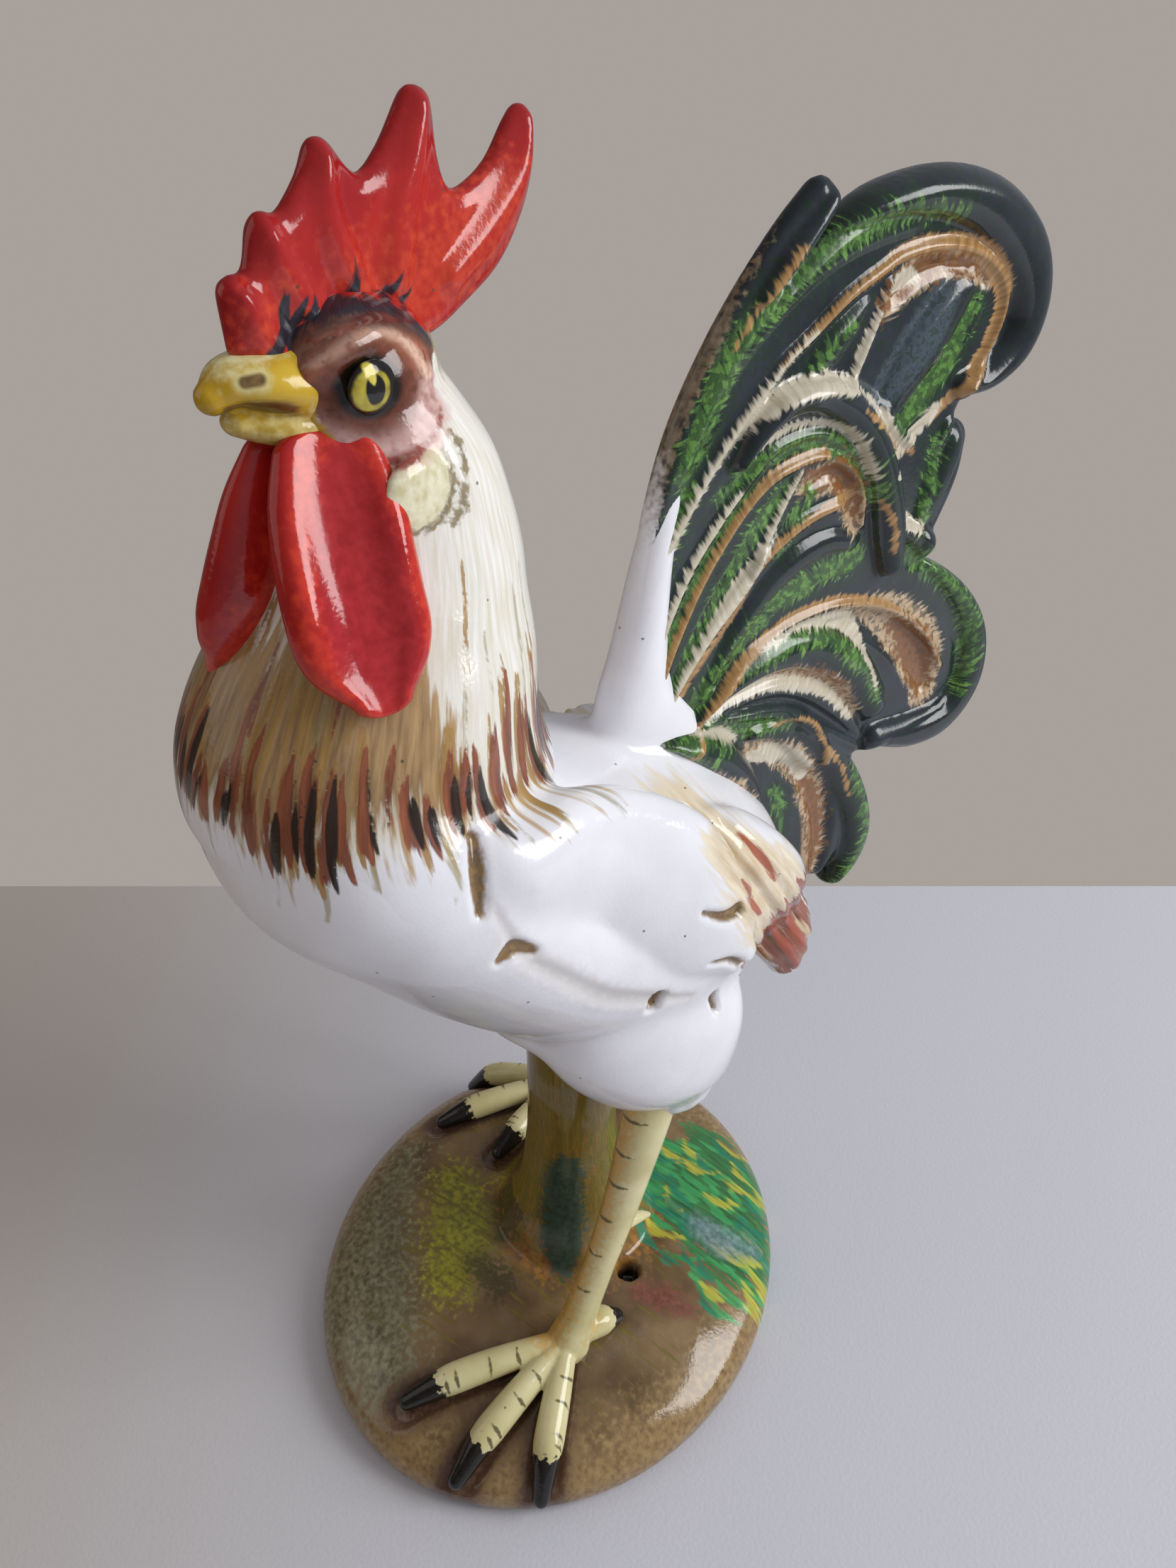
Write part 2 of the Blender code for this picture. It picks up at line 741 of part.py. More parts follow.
def make_button(side, name, centre, width, height, bulge, material, carriers):
    """A low round button pressed into the side of the head or neck."""
    leftward, backward = head_axes()
    halves = width / 2, height / 2
    rings = egg_rings(centre, leftward * side, 2 * bulge, backward, halves[0], UPWARD, halves[1], BROAD_SIDES)
    return lute(skin(name, rings, material), *carriers)


def make_eye(side, name, carriers):
    out = head_side(*EYE_AT) - EYE_SEAT
    centre = from_head(side * out, *EYE_AT)
    return make_button(side, name, centre, EYE_WIDTH, EYE_WIDTH, EYE_BULGE, "ochre", carriers)


def make_lobe(side, name, carriers):
    out, back, up = LOBE_AT
    centre = clear_of_neck(from_head(side * out, back, up), 1.0)
    return make_button(side, name, centre, LOBE_WIDTH, LOBE_HEIGHT, LOBE_BULGE, "cream", carriers)


def make_wing(side, name, carriers):
    """A low relief laid on the flank."""
    route = []
    halves = []
    for along, rise, half in through(WING_ROUTE, 2):
        y, z = on_body(along, rise)
        route.append((side * (flank(y, z) - WING_ROOT), y, z))
        halves.append((WING_ROOT + WING_RELIEF, half))
    rings = sweep_rings(np.array(route), np.array(halves), LEFTWARD, BROAD_SIDES)
    return lute(skin(name, rings, "white"), *carriers)


def make_saddle(side, name, carriers):
    """A tuft that starts on the flank and hangs past the rump."""
    route = []
    halves = []
    for along, rise, half in through(SADDLE_ROUTE, 2):
        y, z = on_body(along, rise)
        route.append((side * max(SADDLE_SPREAD, flank(y, z) - SADDLE_SEAT), y, z))
        halves.append((min(SADDLE_THICKNESS / 2, half), half))
    rings = sweep_rings(np.array(route), np.array(halves), LEFTWARD, BROAD_SIDES)
    return lute(skin(name, rings, "rust"), *carriers)


def hip_spread():
    return BODY_WIDTH / 2 - HIP_INSET


def thigh_foot(along):
    """Y and Z of a thigh's lower end."""
    return BODY_FRONT + along * BODY_LENGTH, BODY_BELLY - THIGH_DROP


def make_thigh(side, name, along, carriers):
    route = []
    halves = []
    y, z = thigh_foot(along)
    for spread, lean, rise, width, depth in through(THIGH_SECTIONS, 2):
        place = side * hip_spread() * spread, y + lean * THIGH_DEPTH, z + rise * THIGH_LENGTH
        route.append(place)
        halves.append((width * THIGH_WIDTH / 2, depth * THIGH_DEPTH / 2))
    rings = sweep_rings(np.array(route), np.array(halves), LEFTWARD, BROAD_SIDES)
    return lute(skin(name, rings, "white"), *carriers)


def shank_curve(side, along, foot):
    """Rows of place and half width, from inside the thigh down to the foot, bowed a little."""
    y, z = thigh_foot(along)
    top = np.array((side * hip_spread(), y - KNEE_AHEAD, z + SHANK_ROOT))
    low = np.array((*foot, ground(*foot) + ANKLE_LIFT))
    rows = []
    for share, width in SHANK_SECTIONS:
        place = top + (low - top) * share
        place[1] += SHANK_BOW * math.sin(math.pi * share)
        rows.append((*place, width * SHANK_WIDTH / 2))
    return through(rows, 2)


def rod(name, curve, lateral, carriers):
    """A round rod of the legs' glaze, along rows of place and half width."""
    halves = np.stack([curve[:, 3]] * 2, axis=1)
    rings = sweep_rings(curve[:, :3], halves, lateral, ROD_SIDES)
    return lute(skin(name, rings, "straw"), *carriers)


def make_spur(name, shank_rows, shank):
    """A short thorn on the back of the shank."""
    x, y, z, half = shank_rows[len(shank_rows) // 2]
    reach = half + SPUR_LENGTH * math.cos(SPUR_DROOP)
    drop = SPUR_LENGTH * math.sin(SPUR_DROOP)
    rows = [(x, y, z, SPUR_WIDTH / 2), (x, y + reach, z - drop, SPUR_TIP_WIDTH / 2)]
    rod(name, through(rows, 2), LEFTWARD, (shank,))


def make_toe(name, foot, reach, heading, carriers):
    """A rolled toe that follows the dome and ends in a claw that dips to the ground."""
    turn = math.radians(heading)
    rows = []
    for share, width, lift in TOE_ROLL:
        x = foot[0] + math.sin(turn) * reach * share
        y = foot[1] - math.cos(turn) * reach * share
        rows.append((x, y, ground(x, y) + lift * TOE_WIDTH, width * TOE_WIDTH / 2))
    return rod(name, np.array(rows), UPWARD, carriers)


def make_foot(word, foot, toes, shank, base):
    """The middle toe is whole and its neighbours are cut back to it."""
    laid = {}
    for name, reach, heading in sorted(toes, key=lambda toe: toe[0] != "middle"):
        carriers = [base, shank] + list(laid.values())
        laid[name] = make_toe(f"toe_{word}_{name}", foot, reach, heading, carriers)
    middle = next(heading for name, _, heading in toes if name == "middle")
    heading = middle + HIND_TOE_TURN
    carriers = [base, shank] + list(laid.values())
    make_toe(f"toe_{word}_hind", foot, HIND_TOE_LENGTH, heading, carriers)


def make_stump(carriers):
    """It grips the belly above and flares on the plinth below."""
    x, y = STUMP_PLACE
    foot = ground(x, y)
    height = BODY_BELLY + STUMP_ROOT - foot
    rings = []
    for share, flare in through(STUMP_SECTIONS, 2):
        half = (STUMP_WIDTH + flare * (STUMP_FOOT_WIDTH - STUMP_WIDTH)) / 2
        centre = np.array((x, y, foot + share * height))
        rings.append(oval_ring(centre, LEFTWARD, half, BACKWARD, half, BROAD_SIDES))
    return lute(skin("stump", rings, "moss"), *carriers)


def tail_root():
    """Y and Z of the point in the rump from which the tail fans out."""
    y = BODY_FRONT + TAIL_ALONG * BODY_LENGTH
    return np.array((y, body_at(y)[0] - TAIL_SINK))


def web_half(reach, share):
    """Half the web's thickness at a share of a reach, thinner away from the root and at the rim."""
    fade = min(1.0, share * reach / WEB_TAPER)
    thick = WEB_ROOT_THICKNESS + (WEB_THICKNESS - WEB_ROOT_THICKNESS) * fade
    return thick / 2 * (WEB_EDGE if share == 1.0 else 1.0)


def web_row(model, side, heading, reach):
    """Points of one side of the web, out along one heading."""
    turn = math.radians(heading)
    ray = np.array((math.cos(turn), math.sin(turn)))
    row = []
    for share in WEB_SHARES:
        place = tail_root() + ray * reach * share
        row.append(model.verts.new((side * web_half(reach, share), *place)))
    return row


def make_tail_core(body):
    """A fan: thick at the root, thin at the rim, both sides alike."""
    model = bmesh.new()
    borders = []
    for side in (1, -1):
        middle = model.verts.new((side * WEB_ROOT_THICKNESS / 2, *tail_root()))
        grid = [web_row(model, side, heading, reach) for heading, reach in WEB_RIM]
        for a, b in zip(grid, grid[1:]):
            model.faces.new((middle, a[0], b[0]))
            for i in range(len(a) - 1):
                model.faces.new((a[i], a[i + 1], b[i + 1], b[i]))
        borders.append([middle] + grid[0] + [row[-1] for row in grid[1:-1]] + grid[-1][::-1])
    left, right = borders
    for i in range(len(left)):
        k = (i + 1) % len(left)
        model.faces.new((left[i], left[k], right[k], right[i]))
    return lute(finish("tail_core", model, "tail_white"), body)


def make_rim_feather(name, rows, thickness, material, carriers):
    """A feather that runs along the rim of the web, the same on both sides."""
    root = tail_root()
    route = []
    halves = []
    for y, z, half in through(rows, 2):
        route.append((0, y + root[0], z + root[1]))
        halves.append((min(thickness / 2, WEB_THICKNESS * WEB_EDGE + half), half))
    rings = sweep_rings(np.array(route), np.array(halves), LEFTWARD, ROD_SIDES)
    return lute(skin(name, rings, material), *carriers)


def make_side_feather(side, name, rows, material, carriers):
    """A feather laid on one side of the web, and on the flank where that stands out further."""
    root = tail_root()
    route = []
    halves = []
    for y, z, half, off in through(rows, 2):
        place_y, place_z = y + root[0], z + root[1]
        out = max(WEB_THICKNESS / 2 + off, flank(place_y, place_z))
        route.append((side * out, place_y, place_z))
        halves.append((min(RELIEF_THICKNESS / 2, half), half))
    rings = sweep_rings(np.array(route), np.array(halves), LEFTWARD, ROD_SIDES)
    return lute(skin(name, rings, material), *carriers)


def make_tail(body, saddles):
    laid = [make_tail_core(body)]
    rims = (
        ("feather_lead", FEATHER_LEAD, LEAD_THICKNESS, "blue_black"),
        ("sickle_upper", SICKLE_UPPER, SICKLE_THICKNESS, "blue_black"),
        ("sickle_lower", SICKLE_LOWER, SICKLE_THICKNESS, "green"),
        ("lobe_low", LOBE_LOW, LOW_THICKNESS, "green"),
        ("lobe_rear", LOBE_REAR, REAR_THICKNESS, "blue_black"),
    )
    for name, rows, thickness, material in rims:
        laid.append(make_rim_feather(name, rows, thickness, material, laid + [body]))
    sides = (
        ("scroll_middle", SCROLL_MIDDLE, "blue_black"),
        ("feather_inner", FEATHER_INNER, "green"),
        ("scroll_lower", SCROLL_LOWER, "green"),
        ("covert", COVERT, "green"),
    )
    for side, word in ((1, "left"), (-1, "right")):
        own = []
        for name, rows, material in sides:
            carriers = laid + own + [body, saddles[side]]
            own.append(make_side_feather(side, f"{name}_{word}", rows, material, carriers))


def make_leg(side, word, along, foot, toes, base, body, wing):
    thigh = make_thigh(side, "thigh_" + word, along, (body, wing))
    rows = shank_curve(side, along, foot)
    shank = rod("shank_" + word, rows, LEFTWARD, (thigh, base, body))
    make_spur("spur_" + word, rows, shank)
    make_foot(word, foot, toes, shank, base)
    return thigh, shank


def make_face(side, word, neck, head, throat_fittings):
    """The fittings of one cheek. The wattle joins those that hang at the throat."""
    make_eye(side, "eye_" + word, (neck, head))
    make_lobe(side, "ear_lobe_" + word, (neck, head))
    throat_fittings.append(make_wattle(side, "wattle_" + word, [neck, head] + throat_fittings))


def main():
    clear_scene()
    base = make_base()
    body = make_body()
    neck = make_neck(body)
    head = make_head(neck)
    beak = make_beak(head, neck)
    make_comb(head, beak[0])
    throat_fittings = list(beak)
    saddles = {}
    legs = []
    for side, word, along, foot, toes in (
        (1, "left", LEFT_THIGH_ALONG, LEFT_FOOT, LEFT_TOES),
        (-1, "right", RIGHT_THIGH_ALONG, RIGHT_FOOT, RIGHT_TOES),
    ):
        make_face(side, word, neck, head, throat_fittings)
        wing = make_wing(side, "wing_" + word, (body, neck))
        thigh, shank = make_leg(side, word, along, foot, toes, base, body, wing)
        legs += [thigh, shank]
        saddles[side] = make_saddle(side, "saddle_" + word, (body, thigh, wing))
    make_stump([base, body] + legs)
    make_tail(body, saddles)


main()
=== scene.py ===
import math
import random

import bpy
import numpy as np
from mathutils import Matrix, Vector


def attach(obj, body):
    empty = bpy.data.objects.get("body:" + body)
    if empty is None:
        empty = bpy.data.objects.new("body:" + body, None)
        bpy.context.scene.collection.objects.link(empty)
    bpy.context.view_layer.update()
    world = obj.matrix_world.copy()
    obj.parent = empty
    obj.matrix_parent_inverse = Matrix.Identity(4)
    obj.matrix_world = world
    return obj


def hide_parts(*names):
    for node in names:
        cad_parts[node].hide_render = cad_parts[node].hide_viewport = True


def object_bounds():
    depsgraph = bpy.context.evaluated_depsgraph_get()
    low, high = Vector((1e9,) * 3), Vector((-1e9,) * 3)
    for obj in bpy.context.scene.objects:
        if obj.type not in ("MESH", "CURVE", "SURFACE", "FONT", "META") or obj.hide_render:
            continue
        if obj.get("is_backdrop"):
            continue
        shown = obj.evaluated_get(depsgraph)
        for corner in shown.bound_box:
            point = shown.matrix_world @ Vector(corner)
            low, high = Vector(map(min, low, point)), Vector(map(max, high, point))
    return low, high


# %% [markdown]
# # A glazed ceramic rooster
# A rooster of this kind is pressed and luted together from soft clay, fired, painted with metal
# oxides and then covered with a clear lead glaze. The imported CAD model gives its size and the
# place of every piece. Here each piece gets a softer skin and its painting. All lengths are in
# millimetres until a mesh is made, because brush strokes and finger marks are easy to think of so.

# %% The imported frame
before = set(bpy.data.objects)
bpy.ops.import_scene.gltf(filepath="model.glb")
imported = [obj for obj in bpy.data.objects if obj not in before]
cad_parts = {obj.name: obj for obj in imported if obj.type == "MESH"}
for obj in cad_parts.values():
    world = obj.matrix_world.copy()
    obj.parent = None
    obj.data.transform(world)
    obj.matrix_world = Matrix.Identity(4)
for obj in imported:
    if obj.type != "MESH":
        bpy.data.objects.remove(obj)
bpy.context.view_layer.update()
MM = 0.001
LEFT, RIGHT = 1, -1

# %% [markdown]
# ## Smooth lines
# Nearly everything on the bird follows a line: a feather, a toe, the neck. A line is written as a
# short table of rows and a Catmull-Rom curve is drawn through them, since it passes through every
# row that was measured. Blender's own curves do the same, but plain rows can carry a width too.


# %% Lines through rows
def through(rows, steps=6):
    """Rows on a smooth curve through each given row."""
    given = np.array(rows, float)
    given = np.vstack([2 * given[0] - given[1], given, 2 * given[-1] - given[-2]])
    curve = []
    for i in range(1, len(given) - 2):
        before, start, end, after = given[i - 1 : i + 3]
        for t in np.arange(steps) / steps:
            bend = (end - before) * t + (2 * before - 5 * start + 4 * end - after) * t**2
            bend += (3 * start - before - 3 * end + after) * t**3
            curve.append(start + 0.5 * bend)
    curve.append(given[-2])
    return np.array(curve)


def unit(vectors):
    return vectors / np.linalg.norm(vectors, axis=-1, keepdims=True)


print("a line of 3 rows becomes", len(through([(0, 0), (1, 1), (2, 0)])), "rows")

# %% [markdown]
# ## Rolls of clay
# A potter rolls coils and drops. A roll here is a row of oval rings along a line, closed at both
# ends with smaller rings, so that it is a whole solid by itself. Whole solids can be melted into
# one skin afterwards, whichever way they cross.

# %% Rolls along a line
SIDES = 40
ROUND_END = (30, 55, 75, 86)


def joined_rings(rings):
    """Points and faces of a closed solid through rings of the same count."""
    rings = np.array(rings)
    count, sides = rings.shape[:2]
    faces = []
    for i in range(count - 1):
        for k in range(sides):
            n = (k + 1) % sides
            faces.append((i * sides + k, i * sides + n, (i + 1) * sides + n, (i + 1) * sides + k))
    faces.append(tuple(range(sides))[::-1])
    faces.append(tuple(range((count - 1) * sides, count * sides)))
    return rings.reshape(-1, 3), faces


def oval(centre, along_a, half_a, along_b, half_b, section=None):
    turn = np.arange(SIDES) * 2 * math.pi / SIDES
    a, b = np.cos(turn), np.sin(turn)
    if section:
        a, b = section(a, b)
    return centre + np.outer(a * half_a, along_a) + np.outer(b * half_b, along_b)


def roll(rows, lateral, section=None, steps=6):
    """A roll along rows of x, y, z, half size along lateral and half size across it.

    Lateral is one direction, or one a row where the roll is twisted.
    """
    rows = through(rows, steps)
    route = rows[:, :3]
    tangents = unit(np.gradient(route, axis=0))
    lateral = through(lateral, steps) if np.ndim(lateral) > 1 else np.array(lateral, float)
    sideways = unit(lateral - (tangents * lateral).sum(1, keepdims=True) * tangents)
    across = np.cross(tangents, sideways)
    stations = [(0, -bend) for bend in ROUND_END[::-1]] + [(i, 0) for i in range(len(rows))]
    stations += [(len(rows) - 1, bend) for bend in ROUND_END]
    rings = []
    for i, bend in stations:
        reach = math.sin(math.radians(bend)) * min(rows[i, 3:5])
        shrink = math.cos(math.radians(bend))
        first, second = rows[i, 3:5] * shrink
        rings.append(oval(route[i] + tangents[i] * reach, sideways[i], first, across[i], second, section))
    return joined_rings(rings)


def egg(centre, axes, halves):
    """An egg by its centre, its three axes and its half sizes along them."""
    rings = []
    for bend in (-86, -72, -55, -38, -20, 0, 20, 38, 55, 72, 86):
        turn = math.radians(bend)
        place = np.array(centre) + np.array(axes[0]) * math.sin(turn) * halves[0]
        shrink = math.cos(turn)
        rings.append(oval(place, axes[1], halves[1] * shrink, axes[2], halves[2] * shrink))
    return joined_rings(rings)


print("an egg has", len(egg((0, 0, 0), np.eye(3), (1, 1, 1))[0]), "points")

# %% [markdown]
# ## Melting the pieces together
# On the real bird a sponge and the glaze soften every joint. Blender's voxel Remesh does the same:
# it takes crossing solids and gives back one skin, and a few rounds of Smooth act as the sponge.
# A Boolean union would keep the joints sharp, so it isn't used.


# %% One skin from many solids
def new_piece(name, points, faces):
    mesh = bpy.data.meshes.new(name)
    mesh.from_pydata((np.array(points) * MM).tolist(), [], faces)
    piece = bpy.data.objects.new(name, mesh)
    bpy.context.collection.objects.link(piece)
    return piece


def settled(piece):
    """Puts a piece's modifiers into its mesh."""
    graph = bpy.context.evaluated_depsgraph_get()
    mesh = bpy.data.meshes.new_from_object(piece.evaluated_get(graph))
    piece.modifiers.clear()
    piece.data = mesh
    mesh.shade_smooth()


def melted(name, solids, voxel, rounds):
    """One skin round solids, with voxels of a size in mm, sponged so many rounds."""
    points, faces, start = [], [], 0
    for some_points, some_faces in solids:
        points.append(some_points)
        faces += [tuple(i + start for i in face) for face in some_faces]
        start += len(some_points)
    piece = new_piece(name, np.vstack(points), faces)
    skin = piece.modifiers.new("slip", "REMESH")
    skin.mode = "VOXEL"
    skin.voxel_size = voxel * MM
    sponge = piece.modifiers.new("sponge", "SMOOTH")
    sponge.iterations = rounds
    sponge.factor = 0.5
    settled(piece)
    print(name, "has", len(piece.data.polygons), "faces")
    return piece


def points_of(piece):
    flat = np.empty(len(piece.data.vertices) * 3)
    piece.data.vertices.foreach_get("co", flat)
    return flat.reshape(-1, 3) / MM


def normals_of(piece):
    flat = np.empty(len(piece.data.vertices) * 3)
    piece.data.vertices.foreach_get("normal", flat)
    return flat.reshape(-1, 3)


def move_points(piece, points):
    piece.data.vertices.foreach_set("co", (points * MM).ravel())
    piece.data.update()


# %% [markdown]
# ## How far from a line
# Both the modelling and the painting need one measure: how far a point is from a line, and whether
# that is within the line's width. It is kept in millimetres, positive inside the stroke. A value
# like that can be read between the mesh's points too, so an edge comes out crisper than the mesh.

# %% Distance inside a stroke
FAR = 12.0


def from_segment(places, start, end):
    """How far along a segment each place is, from 0 to 1, and how far from it."""
    step = end - start
    t = np.clip((places - start) @ step / max(step @ step, 1e-9), 0, 1)
    return t, np.linalg.norm(places - start - t[:, None] * step, axis=1)


def inside(places, rows, steps=5):
    """How deep each place lies inside a stroke of rows (..., half width), in mm, and where along it."""
    size = places.shape[1]
    curve = through(rows, steps) if len(rows) > 2 else np.array(rows, float)
    widest = curve[:, size].max()
    depth = np.full(len(places), -FAR)
    share = np.zeros(len(places))
    low = curve[:, :size].min(0) - FAR - widest
    high = curve[:, :size].max(0) + FAR + widest
    near = np.flatnonzero(((places > low) & (places < high)).all(1))
    if not len(near):
        return depth, share
    spot = places[near]
    best = np.full(len(near), -1e9)
    best_share = np.zeros(len(near))
    for i in range(len(curve) - 1):
        start, end = curve[i], curve[i + 1]
        t, gap = from_segment(spot, start[:size], end[:size])
        found = start[size] + (end[size] - start[size]) * t - gap
        better = found > best
        best[better] = found[better]
        best_share[better] = (i + t[better]) / (len(curve) - 1)
    depth[near] = np.maximum(best, -FAR)
    share[near] = best_share
    return depth, share


def inside_any(places, strokes):
    depth = np.full(len(places), -FAR)
    for rows in strokes:
        depth = np.maximum(depth, inside(places, rows)[0])
    return depth


def inside_outline(places, outline):
    """How deep each place of a plane lies inside a closed outline."""
    outline = np.array(outline, float)
    gap = np.full(len(places), 1e9)
    within = np.zeros(len(places), bool)
    for start, end in zip(outline, np.roll(outline, -1, axis=0)):
        step = end - start
        gap = np.minimum(gap, from_segment(places, start, end)[1])
        crosses = (start[1] > places[:, 1]) != (end[1] > places[:, 1])
        if step[1]:
            within ^= crosses & (places[:, 0] < start[0] + (places[:, 1] - start[1]) * step[0] / step[1])
    return np.where(within, gap, -gap)


def soft(value, low, high):
    """0 below low, 1 above high and a smooth rise between."""
    t = np.clip((value - low) / (high - low), 0, 1)
    return t * t * (3 - 2 * t)


def bump_of(depth, width):
    """A round swelling over a stroke: 1 on its middle line and 0 at its edge."""
    share = np.clip(depth / width, 0, 1)
    return np.sqrt(np.clip(1 - (1 - share) ** 2, 0, 1))


print("a place on the line is", inside(np.array([[0.0, 0.0]]), [(-1, 0, 2), (1, 0, 2)])[0][0], "mm inside")

# %% [markdown]
# ## Pressed sheets
# The comb and the tail are flat: both were pressed in a mould, with a relief on each side. Such a
# piece is a height over a plane. A fine grid is laid over the outline, its rim is pulled onto the
# outline, and each side is raised by the height. Melting then evens out the steep rim.


# %% A sheet with relief on both sides
def pressed_sheet(low, high, step, edge, height, place):
    """A closed solid from edge(places), height(places) and place(places, heights)."""
    a = np.arange(low[0], high[0] + step, step)
    b = np.arange(low[1], high[1] + step, step)
    grid = np.stack(np.meshgrid(a, b, indexing="ij"), axis=-1)
    flat = grid.reshape(-1, 2).copy()
    depth = edge(flat)
    field = depth.reshape(len(a), len(b))
    slope = np.stack(np.gradient(field, step), axis=-1).reshape(-1, 2)
    outside = depth <= 0
    flat[outside] -= depth[outside, None] * unit(slope[outside] + 1e-9)
    height = np.where(outside, 0.0, height(flat, np.maximum(depth, 0)))
    kept = (field > 0)[:-1, :-1] | (field > 0)[1:, :-1] | (field > 0)[:-1, 1:] | (field > 0)[1:, 1:]
    rows, columns = np.nonzero(kept)
    corner = rows * len(b) + columns
    cells = np.stack([corner, corner + len(b), corner + len(b) + 1, corner + 1], axis=1)
    used = np.unique(cells)
    front = np.full(len(flat), -1)
    front[used] = np.arange(len(used))
    inner = used[~outside[used]]
    back = front.copy()
    back[inner] = len(used) + np.arange(len(inner))
    points = np.vstack([place(flat[used], height[used]), place(flat[inner], -height[inner])])
    faces = front[cells].tolist() + back[cells][:, ::-1].tolist()
    return points, faces


# %% [markdown]
# ## Body, neck and head
# These are the same egg, bell and ball that the CAD part is lofted from, drawn through more rings.
# Their rows are shares of the body's size, so the body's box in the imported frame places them.

# %% The body's egg
BODY_FRONT, BODY_LENGTH = -75.0, 147.0
BODY_BELLY, BODY_HEIGHT, BODY_WIDTH = 117.0, 121.0, 89.0
# Place along the body, top, bottom and width, as shares
BODY_SECTIONS = (
    (0, 0.77, 0.72, 0.08), (0.014, 0.84, 0.63, 0.34), (0.054, 0.93, 0.55, 0.64), (0.129, 1, 0.45, 0.86),
    (0.224, 1, 0.31, 0.97), (0.347, 0.88, 0.165, 1), (0.483, 0.72, 0.06, 1), (0.619, 0.67, 0, 1),
    (0.741, 0.61, 0.01, 0.89), (0.84, 0.53, 0.05, 0.72), (0.922, 0.43, 0.11, 0.5), (0.975, 0.33, 0.17, 0.27),
    (1, 0.27, 0.22, 0.08),
)
X, Y, Z = np.eye(3)
body_rows = through(BODY_SECTIONS, 6)
body_y = BODY_FRONT + body_rows[:, 0] * BODY_LENGTH
body_top = BODY_BELLY + body_rows[:, 1] * BODY_HEIGHT
body_low = BODY_BELLY + body_rows[:, 2] * BODY_HEIGHT
body_half = np.maximum(body_rows[:, 3], 0.02) * BODY_WIDTH / 2
# The body and all that sits on it are large, so their rings get more points
SIDES = 64
body_egg = joined_rings([
    oval(np.array((0, y, (top + low) / 2)), X, half, Z, (top - low) / 2)
    for y, top, low, half in zip(body_y, body_top, body_low, body_half)
])


def flank(y, z):
    """How far the body's side stands out at a place."""
    top, low, half = (np.interp(y, body_y, side) for side in (body_top, body_low, body_half))
    rise = (z - (top + low) / 2) / ((top - low) / 2)
    return half * np.sqrt(np.clip(1 - rise**2, 0, 1))


print("flank at the wing:", round(float(flank(0.0, 175.0)), 1), "mm")

# %% The neck's bell
NECK_Y, NECK_FOOT, NECK_LENGTH = -38.0, 196.0, 100.0
NECK_FOOT_SIZE, THROAT_SIZE = (70.0, 75.0), (31.0, 35.0)
# Share of the length, lean along Y, and width and depth from the throat, 0, to the foot, 1
NECK_SECTIONS = (
    (0, 0, 0.64, 0.53), (0.12, -0.5, 1, 1), (0.22, -2.3, 0.95, 0.96), (0.32, -1.5, 0.87, 0.88),
    (0.42, 1.2, 0.72, 0.76), (0.51, 4, 0.51, 0.59), (0.6, 7, 0.33, 0.43), (0.69, 8, 0.22, 0.29),
    (0.78, 8, 0.14, 0.15), (0.86, 6.5, 0, 0), (0.94, 4.5, -0.32, -0.2), (0.99, 4, -0.55, -0.43),
)


def neck_half(share, which):
    throat, foot = THROAT_SIZE[which] / 2, NECK_FOOT_SIZE[which] / 2
    return throat * (1 + np.minimum(share, 0)) + (foot - throat) * np.maximum(share, 0)


neck_rows = through(NECK_SECTIONS, 6)
neck_z = NECK_FOOT + neck_rows[:, 0] * NECK_LENGTH
neck_middle = NECK_Y + neck_rows[:, 1]
neck_wide, neck_deep = neck_half(neck_rows[:, 2], 0), neck_half(neck_rows[:, 3], 1)
neck_bell = joined_rings([
    oval(np.array((0, y, z)), X, wide, Y, deep)
    for y, z, wide, deep in zip(neck_middle, neck_z, neck_wide, neck_deep)
])
print("the neck narrows from", round(2 * neck_wide.max()), "to", round(2 * neck_wide.min()), "mm")

# %% [markdown]
# The head is turned 14 degrees to the bird's left. What sits on it is given in its own directions:
# out to the side, back, and up from its middle. The brow and cheek are two small swellings.

# %% The head, brow and cheek
HEAD_TURN = math.radians(14)
HEAD_MIDDLE = np.array((0.0, -34.5, 288.5))
HEAD_OUT = np.array((math.cos(HEAD_TURN), math.sin(HEAD_TURN), 0))
HEAD_BACK = np.array((-HEAD_OUT[1], HEAD_OUT[0], 0))
HEAD_HALVES = (16.5, 14.0, 14.5)


def on_head(places):
    """Places given as out, back and up from the head's middle."""
    places = np.atleast_2d(places)
    return HEAD_MIDDLE + places[:, :1] * HEAD_OUT + places[:, 1:2] * HEAD_BACK + places[:, 2:3] * Z


def head_rows(rows, side):
    """Rows on one side of the head, with their widths kept."""
    rows = np.array(rows, float)
    rows[:, 0] *= side
    return np.hstack([on_head(rows[:, :3]), rows[:, 3:]])


BROW = ((7, -12.5, 5, 2.6, 2.6), (9.4, -8, 7.4, 2.8, 2.6), (9.8, -2, 8.6, 2.8, 2.6), (8.2, 5, 7, 2.8, 2.8))
CHEEK = ((8, -9, -4.2, 3.4, 3.4), (9.6, -3, -5.4, 3.8, 3.6), (8.8, 3, -4.6, 3.4, 3.4), (7, 8, -2.6, 2.4, 2.4))
head_solids = [egg(HEAD_MIDDLE, (HEAD_BACK, HEAD_OUT, Z), HEAD_HALVES)]
for side in (LEFT, RIGHT):
    head_solids += [roll(head_rows(BROW, side), HEAD_OUT), roll(head_rows(CHEEK, side), HEAD_OUT)]
print(len(head_solids), "solids make the head")

# %% Ear lobes
LOBE_AT = (14.4, -1.5, -15.0)
LOBE_HALVES = (2.0, 6.8, 7.1)


